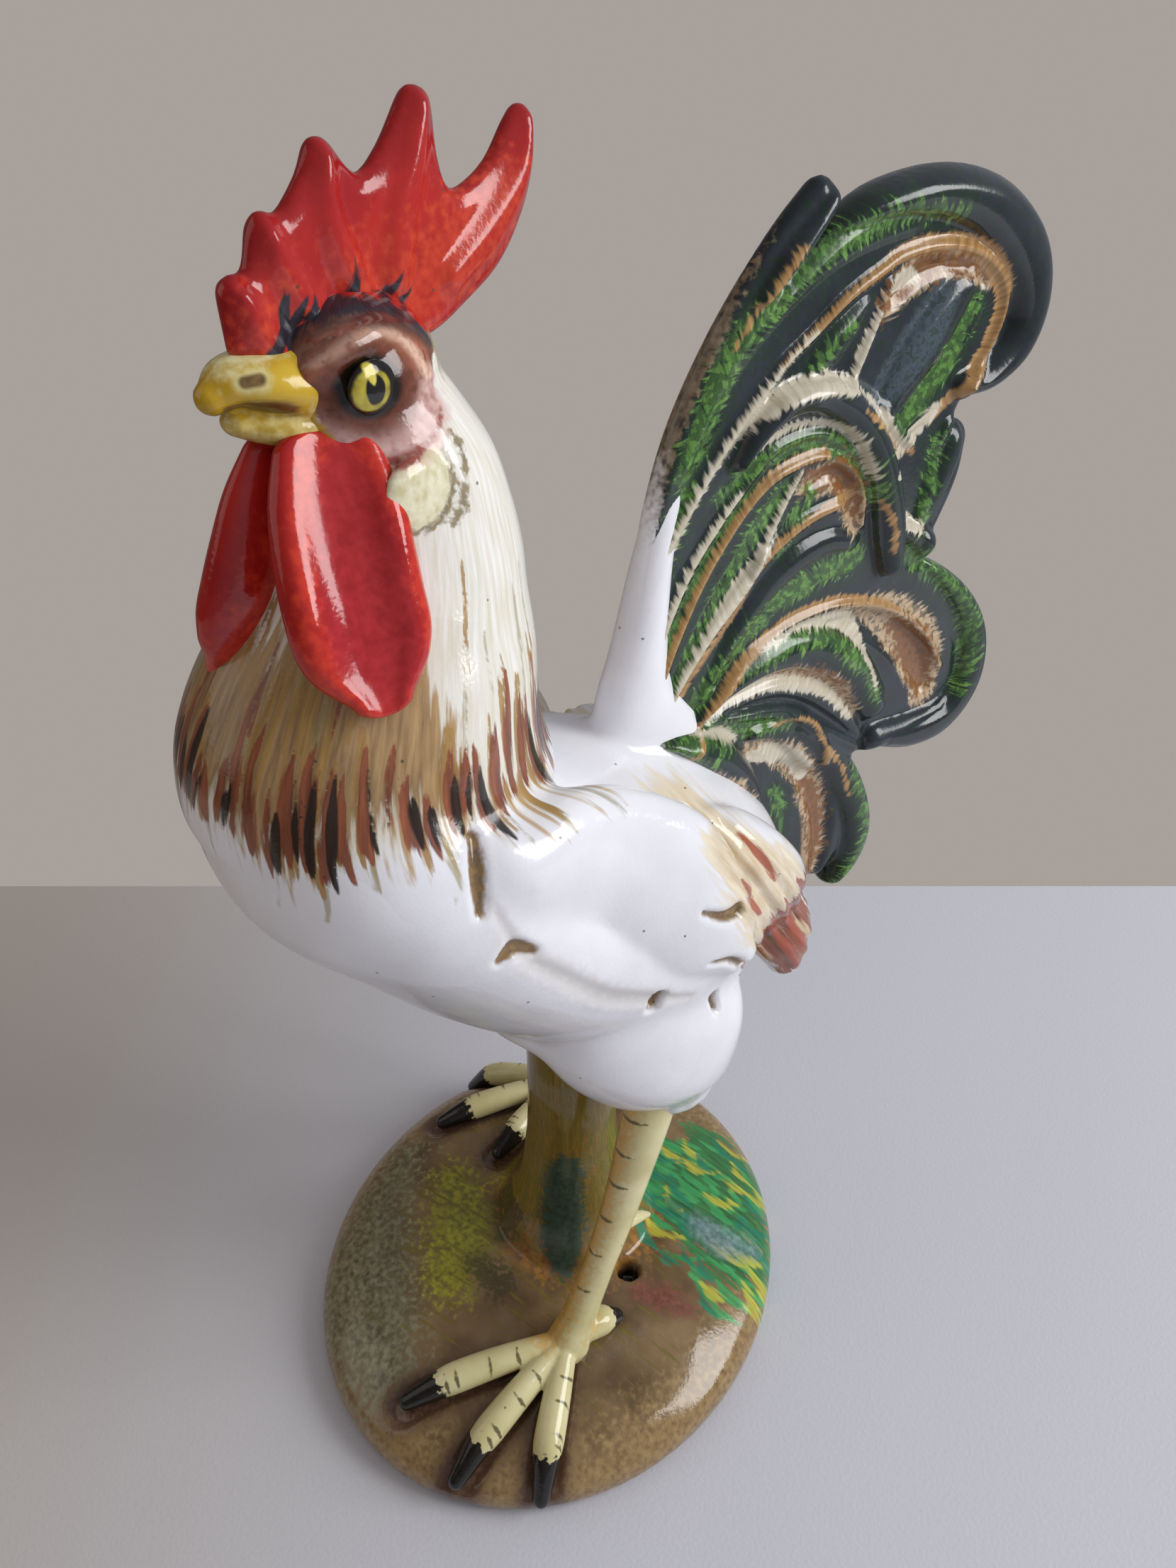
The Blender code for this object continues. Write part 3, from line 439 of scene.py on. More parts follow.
def clear_of_neck(place, least):
    """A place moved out from the neck's middle until it is so far out, as a share of the oval."""
    middle, wide, deep = (np.interp(place[2], neck_z, side) for side in (neck_middle, neck_wide, neck_deep))
    axis = np.array((0, middle, place[2]))
    share = math.hypot(place[0] / wide, (place[1] - middle) / deep)
    return axis + (place - axis) * max(1.0, least / share)


lobe_middle = {side: clear_of_neck(on_head((side * LOBE_AT[0], *LOBE_AT[1:]))[0], 1.0) for side in (LEFT, RIGHT)}
lobes = [egg(lobe_middle[side], (HEAD_OUT * side, HEAD_BACK, Z), LOBE_HALVES) for side in (LEFT, RIGHT)]
print("lobes at", np.round(lobe_middle[LEFT], 1))

# %% [markdown]
# ## Thighs and saddle tufts
# Each thigh is a fat drop pushed up into the belly. Each saddle is a tuft of feathers that leaves
# the back beside the tail and hangs past the rump.

# %% Thighs
HIP_SPREAD = 28.0
THIGH_FOOT, THIGH_LENGTH, THIGH_SIZE = 97.0, 62.0, (36.0, 50.0)
THIGH_ALONG = {LEFT: 0.633, RIGHT: 0.646}
# Share of the spread, lean, share of the length, width and depth
THIGH_SECTIONS = (
    (0.86, -0.34, 1, 0.6, 0.66), (0.95, -0.24, 0.73, 0.92, 1), (1, -0.05, 0.47, 0.98, 0.98),
    (1, 0.05, 0.27, 0.84, 0.8), (1, 0.08, 0.12, 0.6, 0.52),
)
# Clay smeared from the belly to the front of each thigh
GROIN = ((14, -18, 140, 9, 7), (20, -8, 134, 11, 9), (25, 3, 127, 12, 11))
thighs = []
for side in (LEFT, RIGHT):
    y = BODY_FRONT + THIGH_ALONG[side] * BODY_LENGTH
    rows = []
    for spread, lean, rise, wide, deep in THIGH_SECTIONS:
        place = (side * HIP_SPREAD * spread, y + lean * THIGH_SIZE[1], THIGH_FOOT + rise * THIGH_LENGTH)
        rows.append((*place, wide * THIGH_SIZE[0] / 2, deep * THIGH_SIZE[1] / 2))
    thighs += [roll(rows, X), roll(np.array(GROIN, float) * (side, 1, 1, 1, 1), X)]
print(len(thighs), "solids make the thighs")

# %% Saddle tufts
SADDLE_THICK, SADDLE_SPREAD, SADDLE_SEAT = 16.0, 18.0, 4.0
# Place along the body, height and half width
SADDLE_ROUTE = (
    (0.707, 0.537, 5), (0.741, 0.496, 8), (0.789, 0.421, 10), (0.85, 0.306, 11.5), (0.912, 0.174, 11.5),
    (0.959, 0.058, 10), (0.98, -0.033, 6),
)


def on_body(along, rise):
    """Y and Z of a place given as shares of the body's length and height."""
    return BODY_FRONT + along * BODY_LENGTH, BODY_BELLY + rise * BODY_HEIGHT


def saddle(side):
    rows = []
    for along, rise, half in SADDLE_ROUTE:
        y, z = on_body(along, rise)
        rows.append((side * max(SADDLE_SPREAD, flank(y, z) - SADDLE_SEAT), y, z, min(SADDLE_THICK / 2, half), half))
    return roll(rows, X)


saddles = [saddle(side) for side in (LEFT, RIGHT)]
print("saddles hang to", round(on_body(*SADDLE_ROUTE[-1][:2])[1] - 6), "mm")

# %% [markdown]
# ## Wings
# A wing on such a bird is a drop of clay pressed onto the flank and wiped down, so it is one more
# roll. Its rear edge has three scallops, pressed in afterwards.

# %% Wings
WING_ROOT, WING_RELIEF = 5.0, 4.6
# Place along the body, height and half height of the wing
WING_ROUTE = (
    (0.299, 0.744, 8), (0.34, 0.702, 15), (0.435, 0.62, 21), (0.537, 0.521, 22), (0.619, 0.43, 17), (0.687, 0.331, 8),
)


def wing(side):
    rows = []
    for along, rise, half in WING_ROUTE:
        y, z = on_body(along, rise)
        rows.append((side * (flank(y, z) - WING_ROOT), y, z, WING_ROOT + WING_RELIEF, half))
    return roll(rows, X)


wings = [wing(side) for side in (LEFT, RIGHT)]
print("wings stand", WING_RELIEF, "mm proud")

# %% [markdown]
# ## The figure's skin
# Body, neck, head, lobes, thighs, saddles and wings are melted into one skin. The neck's foot is
# wiped flat into the breast: its rim gets many more rounds of Smooth than the rest, through a
# vertex group that says where the sponge presses.

# %% Melt the figure
FIGURE_VOXEL = 0.95
# The back rises in a ridge that the tail's front edge sits in
TAIL_SEAT = (
    (0, 34, 172, 15, 24), (0, 31, 186, 12, 20), (0, 29, 196, 9.5, 15), (0, 27.6, 205, 7.6, 10.5),
    (0, 28, 214, 6.4, 7.6), (0, 29.2, 225, 5.6, 5.8), (0, 31.2, 238, 4.6, 4.6), (0, 34.2, 250, 3.4, 3.6),
    (0, 38, 262, 2, 2.2),
)
figure_solids = [body_egg, neck_bell, roll(TAIL_SEAT, X), *head_solids, *lobes, *thighs, *saddles, *wings]
figure = melted("figure", figure_solids, FIGURE_VOXEL, 6)


def wipe(piece, strength, rounds):
    """More rounds of Smooth where strength, one number a point, is above 0."""
    group = piece.vertex_groups.new(name="wiped")
    for level in (0.25, 0.5, 0.75, 1.0):
        chosen = np.flatnonzero((strength > level - 0.25) & (strength <= level))
        group.add(chosen.tolist(), level, "REPLACE")
    cloth = piece.modifiers.new("wiping", "SMOOTH")
    cloth.iterations = rounds
    cloth.factor = 0.5
    cloth.vertex_group = "wiped"
    settled(piece)
    piece.vertex_groups.clear()


# The neck's rim, the tops of the wings, the tail's seat and the groin are wiped, each over its own zone
x, y, z = points_of(figure).T
rim = soft(z, 186, 194) * soft(z, 226, 216) * soft(y, 16, 6)
wing_top = soft(z, 196, 206) * soft(np.abs(x), 12, 18) * soft(y, 26, 16) * soft(z, 232, 222)
seat = soft(z, 184, 190) * soft(z, 208, 196) * soft(np.abs(x), 26, 18) * soft(y, 4, 12)
groin = soft(z, 108, 122) * soft(z, 160, 146) * soft(y, 40, 26)
wipe(figure, np.maximum.reduce([rim, 0.8 * wing_top, seat, groin]), 90)
print("wiped", int((rim > 0).sum()), "points")

# %% Press the wing's scallops and the small slots
# Nicks as x, y, z and half width rows, with how deep each is pressed
NICKS = (
    (((38, -36, 217, 1.3), (41, -38.5, 210, 1.5), (44, -39.5, 203, 1)), 1.2),
    (((46, -37, 190, 1), (47, -33.5, 192, 1.8), (46, -29, 189, 1)), 1.2),
    (((44, 13, 177.5, 0.5), (43, 18, 174, 1.3), (42, 22, 173, 2)), 1.6),
    (((45, 15, 163, 0.4), (44, 21, 161, 0.9), (41, 27, 155, 1.7)), 1.4),
    (((44, 2.6, 157.5, 1.4), (44, 1.4, 154.5, 1.6)), 2.6), (((42, 20.5, 145.5, 1.1), (42, 21.5, 140.5, 0.9)), 2.2),
)
CREASE = (
    (47, -38, 207, 0.6), (47, -35, 198, 1.4), (47, -31, 188, 2.2), (47, -22, 177, 2.6), (46, -12, 166, 2.8),
    (45, 0, 158, 2.6), (43, 12, 152, 1.2),
)
CREASE_DEEP, STRAND_RISE, STRAND_PITCH = 0.7, 0.45, 4.6
SADDLE_HEADING = math.radians(-57)
SADDLE_OUTLINE = (
    (17, 194), (17, 188), (19, 181), (23, 169), (32, 149), (43, 131), (56, 117), (68, 110), (77, 112), (76, 124),
    (68, 143), (57, 161), (44, 176), (34, 184), (28, 191),
)


def on_skin(rows, side):
    """Rows x, y, z, half width, mirrored to a side and pulled onto the figure's skin."""
    pulled = []
    for x, y, z, half in rows:
        _, place, _, _ = figure.closest_point_on_mesh(Vector((side * x, y, z)) * MM)
        pulled.append((*(place / MM), half))
    return pulled


def saddle_strands(points):
    """How far each point is across the saddle's strands, and along them."""
    level, upright = math.cos(SADDLE_HEADING), math.sin(SADDLE_HEADING)
    return points[:, 2] * level - points[:, 1] * upright, points[:, 1] * level + points[:, 2] * upright


def inside_saddle(points):
    return np.where(np.abs(points[:, 0]) > 12, inside_outline(points[:, 1:], SADDLE_OUTLINE), -FAR)


points, normals = points_of(figure), normals_of(figure)
nick_lines = [on_skin(rows, side) for rows, _ in NICKS for side in (LEFT, RIGHT)]
crease_lines = [on_skin(CREASE, side) for side in (LEFT, RIGHT)]
# The crease's depth carries painted shade, with a little brown in it, along the crease under each wing
nick_depth, crease_depth = inside_any(points, nick_lines), inside_any(points, crease_lines)
for rows, deep in zip(nick_lines, [deep for _, deep in NICKS for side in (LEFT, RIGHT)]):
    points -= normals * (soft(inside(points, rows)[0], -0.9, 0.9) * deep)[:, None]
for rows in crease_lines:
    points -= normals * (soft(inside(points, rows)[0], -0.5, 2.4) * CREASE_DEEP)[:, None]
# The saddle's strands are combed into the clay
comb_wave = np.cos(saddle_strands(points)[0] * 2 * math.pi / STRAND_PITCH)
points += normals * (STRAND_RISE * soft(inside_saddle(points), 0, 4) * comb_wave)[:, None]
move_points(figure, points)
print(2 * len(NICKS), "nicks pressed")

# %% [markdown]
# ## Comb and beak
# The comb is a thick blade with five points, each with a rounded ridge that runs down into the
# blade. It is a pressed sheet in the head's own upright plane.

# %% The comb
COMB_HALF, COMB_ROUND = 4.0, 3.6
# Its thickness between the ridges, and what a ridge adds, as shares
COMB_LEAST, COMB_RIDGED = 0.62, 0.38
# Outline back along the head and up from its middle
COMB_OUTLINE = (
    (-21.8, 8.5), (-21.8, 16.9), (-19.8, 19.1), (-17.2, 19.5), (-15.2, 24.7), (-12.9, 27), (-9.8, 26.4), (-5.2, 30.8),
    (-2.3, 35.1), (0.5, 35), (3.5, 31.5), (6.4, 29.8), (11.1, 33.3), (16.5, 39.8), (19.3, 40.6), (21.8, 38.5),
    (22.5, 31), (24.2, 26.1), (27.6, 25.3), (34.2, 28.6), (39.3, 34.3), (42.6, 36.4), (44.6, 33.7), (44.4, 25.1),
    (40.7, 17.6), (35, 11.3), (26.6, 6.6), (18.4, 3.2), (5.2, 1.6), (-17.5, 3.3),
)
comb_line = through([*COMB_OUTLINE, COMB_OUTLINE[0]], 4)[:-1]
# Ridges from each point down into the blade: back, up, half width
COMB_RIDGES = (
    ((-19.5, 16.5, 2.4), (-17, 11, 3.4), (-14, 6, 3.4)), ((-13, 24, 2.2), (-11, 18, 3), (-7, 11, 3.4)),
    ((-1.2, 33, 2), (-2, 26, 2.8), (0, 18, 3.4), (4, 10, 3.2)),
    ((18.6, 38.5, 2), (16, 31, 3), (12.5, 23, 3.6), (10, 14, 3.4)),
    ((43, 34, 2), (40, 26, 3), (32, 18, 3.8), (23, 12, 3.6)),
)


def comb_edge(places):
    return inside_outline(places, comb_line)


def comb_height(places, depth):
    ridge = soft(inside_any(places, [np.array(rows) + (0, 0, 1.0) for rows in COMB_RIDGES]), 0.0, 4.0)
    return bump_of(depth, COMB_ROUND) * COMB_HALF * (COMB_LEAST + COMB_RIDGED * ridge)


def comb_place(places, heights):
    return on_head(np.column_stack([heights, places]))


comb = melted("comb", [pressed_sheet((-24, 0), (47, 43), 0.5, comb_edge, comb_height, comb_place)], 0.5, 5)

# %% [markdown]
# The beak is two short horns. The upper one hooks over the lower one, and the dark line between
# them bends down to the corner of the mouth.

# %% The beak
# Ahead of the head's front, height, half width and half height
BEAK_UPPER = (
    (-4.6, 1.4, 8.6, 6.8), (-1.4, 2.6, 8.5, 6), (2.4, 3.7, 7.6, 4.8), (6.2, 4, 5.4, 3.9), (9.4, 2.8, 2.9, 2.8),
)
BEAK_LOWER = ((-5, -3.9, 8, 4.2), (1, -3.2, 6.8, 3.3), (6, -2, 3.4, 2.2))


def beak_roll(rows):
    placed = [(*on_head((0, -HEAD_HALVES[0] - ahead, up))[0], wide, high) for ahead, up, wide, high in rows]
    return roll(placed, HEAD_OUT)


beak = melted("beak", [beak_roll(BEAK_UPPER), beak_roll(BEAK_LOWER)], 0.4, 4)

# %% [markdown]
# ## Wattles
# The wattles are two thick drops that hang from the throat. Each has a rolled rim and a dished
# outer face, so the ring that is swept down the line is an oval pressed in on one side.

# %% The wattles
# Out, back, up, half width, half thickness, how far it is turned out in degrees and how far out
# from the neck's middle it keeps, as a share of the neck
WATTLE_ROWS = (
    (9, -12.4, -6.8, 9, 3.4, 22, 0.68), (13.2, -14.8, -13, 11, 5.2, 24, 0.72),
    (15.8, -17.8, -21.4, 11.8, 6, 20, 0.82), (17.6, -18, -30, 12.2, 6.4, 17, 0.95),
    (19.4, -17.8, -36.6, 12, 6, 18, 1.03), (20.4, -17, -41.4, 9.8, 4.8, 20, 1.08),
    (20.8, -16.6, -44.2, 5.6, 3, 20, 1.12),
)
# The right wattle spreads less, hangs lower and keeps closer to the neck
RIGHT_WATTLE = (0.30, 2.6, 0.86)


def dished(side):
    """An oval whose outer face is pressed in."""

    def section(a, b):
        outer = np.clip(b * side, 0, 1)
        return a, b * (1 - 0.74 * outer * np.exp(-((a / 0.66) ** 4)))

    return section


def wattle_rows(side):
    """A wattle's rows, and for each the direction its width lies in."""
    spread, lower, closest = (1.0, 0.0, 2.0) if side == LEFT else RIGHT_WATTLE
    rows, widths = [], []
    for out, back, up, wide, thick, turn, least in WATTLE_ROWS:
        place = clear_of_neck(on_head((side * out * spread, back, up - lower))[0], min(least, closest))
        rows.append((*place, wide, thick))
        turn = math.radians(turn * spread)
        widths.append(HEAD_BACK * math.cos(turn) + HEAD_OUT * side * math.sin(turn))
    rows = np.array(rows)
    for _ in range(3):
        rows[1:-1, :3] = (rows[:-2, :3] + 2 * rows[1:-1, :3] + rows[2:, :3]) / 4
    return rows, widths


def wattle(side, name):
    return melted(name, [roll(*wattle_rows(side), dished(side))], 0.5, 5)


wattle_left, wattle_right = wattle(LEFT, "wattle_left"), wattle(RIGHT, "wattle_right")

# %% [markdown]
# ## Eyes
# Each eye is a low dome pressed into the side of the head.

# %% The eyes
EYE_AT = (-5.5, 2.1)
EYE_HALF, EYE_LONG, EYE_BULGE, EYE_SUNK = 4.3, 4.8, 1.5, 0.2


def eye(side, name):
    back, up = EYE_AT
    share = (back / HEAD_HALVES[0]) ** 2 + (up / HEAD_HALVES[2]) ** 2
    middle = on_head((side * (HEAD_HALVES[1] * math.sqrt(1 - share) - EYE_SUNK), back, up))[0]
    return melted(name, [egg(middle, (HEAD_OUT * side, HEAD_BACK, Z), (EYE_BULGE, EYE_LONG, EYE_HALF))], 0.28, 2)


eye_left, eye_right = eye(LEFT, "eye_left"), eye(RIGHT, "eye_right")

# %% [markdown]
# ## The tail
# The tail is the showpiece: an upright fan with the same relief on both sides. Thick rolled
# feathers run along its rim and curl over hollows, and thin ridges fan out from the root between
# them. Every feather is one line in the fan's plane with its width, written from tracing such a
# tail from the side. The rim is the outline of the web together with the feathers on it.

# %% The fan's outline
TAIL_ROOT = np.array((28.0, 187.1))
# Heading above +Y in degrees, and reach
WEB_RIM = (
    (105, 12), (95, 30), (88, 50), (84, 68), (80, 86), (76.5, 99), (72.5, 110), (67, 114), (63, 124), (59, 132),
    (53, 139), (47, 143), (42, 144), (38, 136), (35.5, 118), (32, 106), (28, 103), (23, 96), (18, 92), (13, 93),
    (6, 106), (-1, 114), (-8, 118), (-13, 112), (-17, 94), (-22, 78), (-27, 79), (-33, 95), (-39, 101), (-45, 100),
    (-52, 80), (-60, 55), (-110, 20), (180, 14),
)
# Feathers along the rim, from the root: Y, Z and half width
RIM_FEATHERS = (
    ((-0.5, 41, 2.6), (4.5, 60, 3.8), (10, 75, 4.6), (17, 88, 4.9), (25, 100, 4.8), (34, 111, 4.2), (42, 119, 3.4)),
    ((0, 43, 2.3), (14, 73, 4.2), (31, 94, 6.2), (53, 109, 7.6), (70, 113, 8.4), (86, 111.5, 9), (101, 105, 9.4),
     (112, 95, 9.2), (112.5, 83, 8), (104, 75.5, 6.2), (97, 73, 4.1)),
    ((12, 14, 2.4), (28, 26, 6), (48, 33, 7.4), (70, 28, 8), (90, 20.5, 8), (106, 10, 7.6), (116.5, -3, 7.2),
     (119, -17, 7.2), (112, -26.5, 7.2), (99, -27.5, 6.6), (87, -24.5, 5)),
    ((87, 29, 4), (90.5, 40, 6), (93.5, 50, 7), (95, 58, 6)),
    ((14, 7, 1.8), (28, 3, 3.4), (44, -6, 5.6), (60, -20, 6.8), (73, -37, 7.2), (80.5, -53, 7), (81, -65, 6),
     (75.5, -73, 3.2)),
)
rim_lines = [np.array(rows, float) + (*TAIL_ROOT, 0) for rows in RIM_FEATHERS]


def rim_place(heading, reach):
    heading = math.radians(heading)
    return TAIL_ROOT + reach * np.array((math.cos(heading), math.sin(heading)))


web_line = [rim_place(*row) for row in WEB_RIM]


def tail_edge(places):
    return np.maximum(inside_outline(places, web_line), inside_any(places, rim_lines))


print("the fan reaches", round(max(reach for _, reach in WEB_RIM)), "mm from its root")

# %% [markdown]
# The relief is a list of rolled feathers, thin ridges and hollows. A roll swells, a ridge stands
# up sharply and a hollow is pressed in, each by its own height at its own place.

# %% Lines of the relief
# Rolled feathers in the fan's plane: (Y, Z, half width) rows and how far the roll stands up
ROLLS = (
    (((26, 236, 1.8), (31, 256, 3), (38, 276, 3.8), (47, 292, 4), (57, 302, 3.6), (67, 308, 3)), 1.2),
    (((54, 289, 1.6), (63, 297, 3), (72, 303, 4.2), (82, 305.5, 5.2), (94, 306, 5.8), (107, 304.5, 6.2),
     (120, 300, 6.6), (131, 292, 6.8), (138, 283, 6.8), (140, 274, 6.4), (137, 266, 5.6), (129, 261, 4.6),
     (121, 260, 3.4)), 4.4),
    (((50, 256, 1.6), (56, 263, 2.8), (63, 267, 3.6), (72, 267, 4), (81, 263, 4.2), (89, 256, 4.2), (95, 247, 4.4),
     (99, 237, 4.9), (102, 227, 4.9), (104, 219, 3.8)), 5.4),
    (((104, 228, 2), (113, 224, 3.2), (125, 214, 4.2), (137, 202, 4.8), (145, 190, 5), (148, 176, 5.4), (145, 166, 6),
     (136, 160, 6.6), (123, 160, 6.4), (110, 163, 5)), 4.4),
    (((42, 196, 1.4), (52, 201, 3), (64, 204, 4.6), (76, 203, 5.6), (88, 197, 6), (98, 188, 6), (107, 176, 5)), 4),
    (((44, 201, 1.4), (52, 212, 2.4), (60, 220, 3), (70, 227, 3.4), (81, 230, 3), (90, 228, 2.2)), 1.6),
    (((92, 256, 3.4), (100, 266, 5.6), (107, 274, 6.4), (113, 281, 5), (117, 284, 3.2)), 2.6),
    (((69, 271, 1.8), (75, 276, 3.4), (80, 280, 2.8), (84, 284, 1.2)), 1.4),
    (((36, 258, 2), (47, 277, 3.2), (59, 288, 3.4), (72, 295, 3.2), (84, 298, 3), (96, 299, 2.6)), 0.9),
    (((37, 195, 0.9), (51, 192, 1.6), (64, 189, 2), (76, 184, 2.2), (88, 174, 2.4), (101, 164, 2.4)), 2.6),
    (((27, 196, 0.8), (34, 193, 3.2), (43, 187, 5.2), (52, 178, 5.6), (59, 167, 4.8), (62, 154, 2.4)), 8.5),
    (((78, 178, 2.4), (90, 168, 4), (101, 154, 5.2), (108, 140, 5.6), (110, 128, 5.6), (106, 117, 4.6),
     (100, 113, 3)), 3.2), (((113, 224, 2.6), (117, 234, 4.4), (120, 243, 5), (120, 249, 4.2)), 2.2),
    (((62, 183, 2), (71, 181, 3.4), (79, 174, 3.6), (85, 164, 2.4)), 2.2),
)
# Thin ridges: rows and height
RIDGES = (
    (((22, 213, 1.2), (26, 226, 1.4), (31, 238, 1.5), (37, 248, 1.5), (46, 260, 1.5), (55, 269, 1.4), (61, 275, 1.2),
     (69, 280, 1.2), (78, 286, 1.3), (87, 290, 1.3), (94, 292.5, 1.3), (106, 293, 1.3), (119, 290, 1.3),
     (128, 284, 1.3), (131, 277, 1.2), (128, 268, 1.1), (121, 260, 1.1)), 1.6),
    (((26, 207, 1.2), (31, 220, 1.2), (38, 233, 1.3), (46, 243, 1.3), (53, 250, 1.2), (60, 256, 1.1), (68, 258, 1.1),
     (77, 257, 1), (86, 251, 1)), 1.3),
    (((28, 202, 1.1), (33, 214, 1.2), (40, 227, 1.2), (47, 237, 1.3), (54, 245, 1.3), (61, 250, 1.3), (69, 252, 1.3),
     (77, 252, 1.3), (86, 247, 1.3), (91, 240, 1.2), (92, 232, 1.1)), 1.6),
    (((31, 199, 1.2), (38, 209, 1.5), (46, 218, 2), (54, 225, 2.4), (60, 231, 2.2), (67, 235, 1.8), (75, 238, 1.6),
     (83, 239, 1.4)), 1.6), (((57, 229, 1.2), (62, 237, 1.2), (66, 244, 1.1), (70, 250, 1)), 1.3),
    (((38, 192, 1.1), (49, 201, 1.1), (57, 207, 1.2), (68, 210, 1.3), (78, 211.5, 1.3), (89, 211, 1.3),
     (103, 207, 1.3), (116, 199, 1.2), (127, 189, 1.1), (134, 178, 1)), 1.5),
    (((60, 268, 1.4), (70, 269, 1.8), (79, 268, 1.8), (88, 264, 1.6), (98, 255, 1.4), (106, 249, 1.3)), 1.4),
    (((82, 267, 1.3), (85, 273, 1.2), (88, 280, 1.2), (91, 287, 1.2)), 1.4),
    (((44, 194, 1.2), (56, 195, 1.6), (69, 194, 2.2), (82, 188, 2.6), (95, 177, 2.4), (103, 167, 1.6)), 1.6),
    (((66, 184, 1), (74, 184, 1.2), (82, 180, 1.3), (88, 171, 1.3), (90, 163, 1.1)), 1.4),
)
# Hollows and grooves pressed in: rows and depth
HOLLOWS = (
    (((93, 284, 3.6), (101, 288, 3.6), (112, 288, 2.8), (123, 283, 2.4)), 1.6),
    (((74, 246, 2.6), (81, 247, 3.4), (86, 243, 3.2), (88, 236, 2.4)), 1.6),
    (((86, 206, 2.4), (99, 203, 4.4), (112, 195, 6), (123, 184, 6.4), (129, 174, 4.6)), 2),
    (((74, 168, 3), (84, 160, 5), (92, 148, 6), (95, 134, 5.6), (95, 122, 4)), 1.6),
    (((34, 183, 2.4), (44, 176, 4.4), (53, 166, 5), (58, 157, 3.4)), 0.6),
    (((38, 240, 1), (50, 254, 1.2), (64, 266, 1)), 0.9),
    (((34, 208, 0.9), (43, 222, 1), (53, 234, 1.2), (60, 240, 1)), 0.9),
    (((42, 203, 0.9), (54, 214, 1.1), (66, 219, 1.2), (80, 221, 1.2), (92, 221, 1.2)), 0.8),
)
print(len(ROLLS), "rolls,", len(RIDGES), "ridges and", len(HOLLOWS), "hollows")

# %% Raise the relief
WEB_HALF, ROOT_HALF, ROOT_FADE, WEB_LEAST = 3.2, 6.0, 50.0, 1.2
TAIL_ROUND = 4.6
TAIL_VOXEL = 0.65


def tail_height(places, depth):
    from_root = np.linalg.norm(places - TAIL_ROOT, axis=1)
    height = ROOT_HALF + (WEB_HALF - ROOT_HALF) * np.clip(from_root / ROOT_FADE, 0, 1)
    raised = np.zeros(len(places))
    for rows, rise in ROLLS:
        found, _ = inside(places, rows)
        width = np.array(rows)[:, 2].max()
        raised = np.maximum(raised, bump_of(np.maximum(found, 0), width) * rise)
    height += raised
    for rows, rise in RIDGES:
        found, _ = inside(places, np.array(rows) + (0, 0, 0.5))
        height = np.maximum(height, height + soft(found, 0, 1.6) * (rise - 0.4 * np.minimum(raised, rise)))
    for rows, deep in HOLLOWS:
        height -= soft(inside(places, rows)[0], 0, 4.0) * deep
    return np.maximum(height, WEB_LEAST) * bump_of(depth, TAIL_ROUND)


def tail_place(places, heights):
    return np.column_stack([heights, places])


tail_sheet = pressed_sheet((8, 98), (160, 322), 0.5, tail_edge, tail_height, tail_place)
tail = melted("tail", [tail_sheet], TAIL_VOXEL, 2)

# %% [markdown]
# ## The plinth
# The bird stands on a low domed oval with a stump that carries the belly. A plinth like this is
# pressed flat below. The potter dug furrows beside each toe, which is a height over a plane again.

# %% The plinth's dome
BASE_LENGTH, BASE_WIDTH, BASE_HEIGHT, BASE_RIM = 155.5, 136.5, 22.5, 6.0
BASE_TURN = math.radians(27)
DOME_POWER = 2.6
VENT_AT, VENT_HALF, VENT_DEEP = (27.0, 10.0), 3.1, 7.0
FURROW_HALF, FURROW_DEEP = 6.4, 1.5


def base_share(x, y):
    along = x * math.cos(BASE_TURN) + y * math.sin(BASE_TURN)
    across = y * math.cos(BASE_TURN) - x * math.sin(BASE_TURN)
    return np.hypot(along / (BASE_WIDTH / 2), across / (BASE_LENGTH / 2))


def ground(x, y):
    dome = np.sqrt(np.clip(1 - base_share(x, y) ** DOME_POWER, 0, 1))
    return BASE_RIM + (BASE_HEIGHT - BASE_RIM) * dome


FEET = {LEFT: (36.0, -18.0), RIGHT: (-43.0, 34.0)}
# Reach and heading of each toe, in degrees from straight ahead
TOES = {
    LEFT: ((46.5, -18), (43.5, 12), (36.0, 44), (16.0, 177)),
    RIGHT: ((36.5, 20), (43.5, -16), (34.5, -52), (16.0, 149)),
}


def toe_end(side, reach, heading):
    x, y = FEET[side]
    return x + math.sin(math.radians(heading)) * reach, y - math.cos(math.radians(heading)) * reach


def furrow_lines(start, half):
    """A line under each front toe, from so far out and so wide there to just past its tip."""
    lines = []
    for side in (LEFT, RIGHT):
        for reach, heading in TOES[side][:3]:
            tip = toe_end(side, reach + 1, heading)
            lines.append([(*toe_end(side, start, heading), half), (*tip, FURROW_HALF)])
    return lines


def dome_solid():
    sides, rings = 120, 60
    turn = np.arange(sides) * 2 * math.pi / sides
    loops = []
    shares = [(0.30, 0.0), (0.955, 0.0), (0.985, 1.5), (1.0, 4.0), (1.0, BASE_RIM)]
    shares += [(math.sin(math.radians(90 - 90 * (i + 0.5) / rings)), None) for i in range(rings)]
    for share, height in shares:
        x0, y0 = np.cos(turn) * share * BASE_WIDTH / 2, np.sin(turn) * share * BASE_LENGTH / 2
        x = x0 * math.cos(BASE_TURN) - y0 * math.sin(BASE_TURN)
        y = x0 * math.sin(BASE_TURN) + y0 * math.cos(BASE_TURN)
        z = np.full(sides, height) if height is not None else ground(x, y)
        loops.append(np.stack([x, y, z], axis=1))
    return joined_rings(loops)


# Stump: share of its height and flare
STUMP_SECTIONS = ((-0.02, 1), (0.05, 0.72), (0.16, 0.34), (0.35, 0.08), (0.65, 0), (1, 0.12))
STUMP_AT, STUMP_HALF, STUMP_FLARE = (-1.0, 9.0), 12.5, 12.5


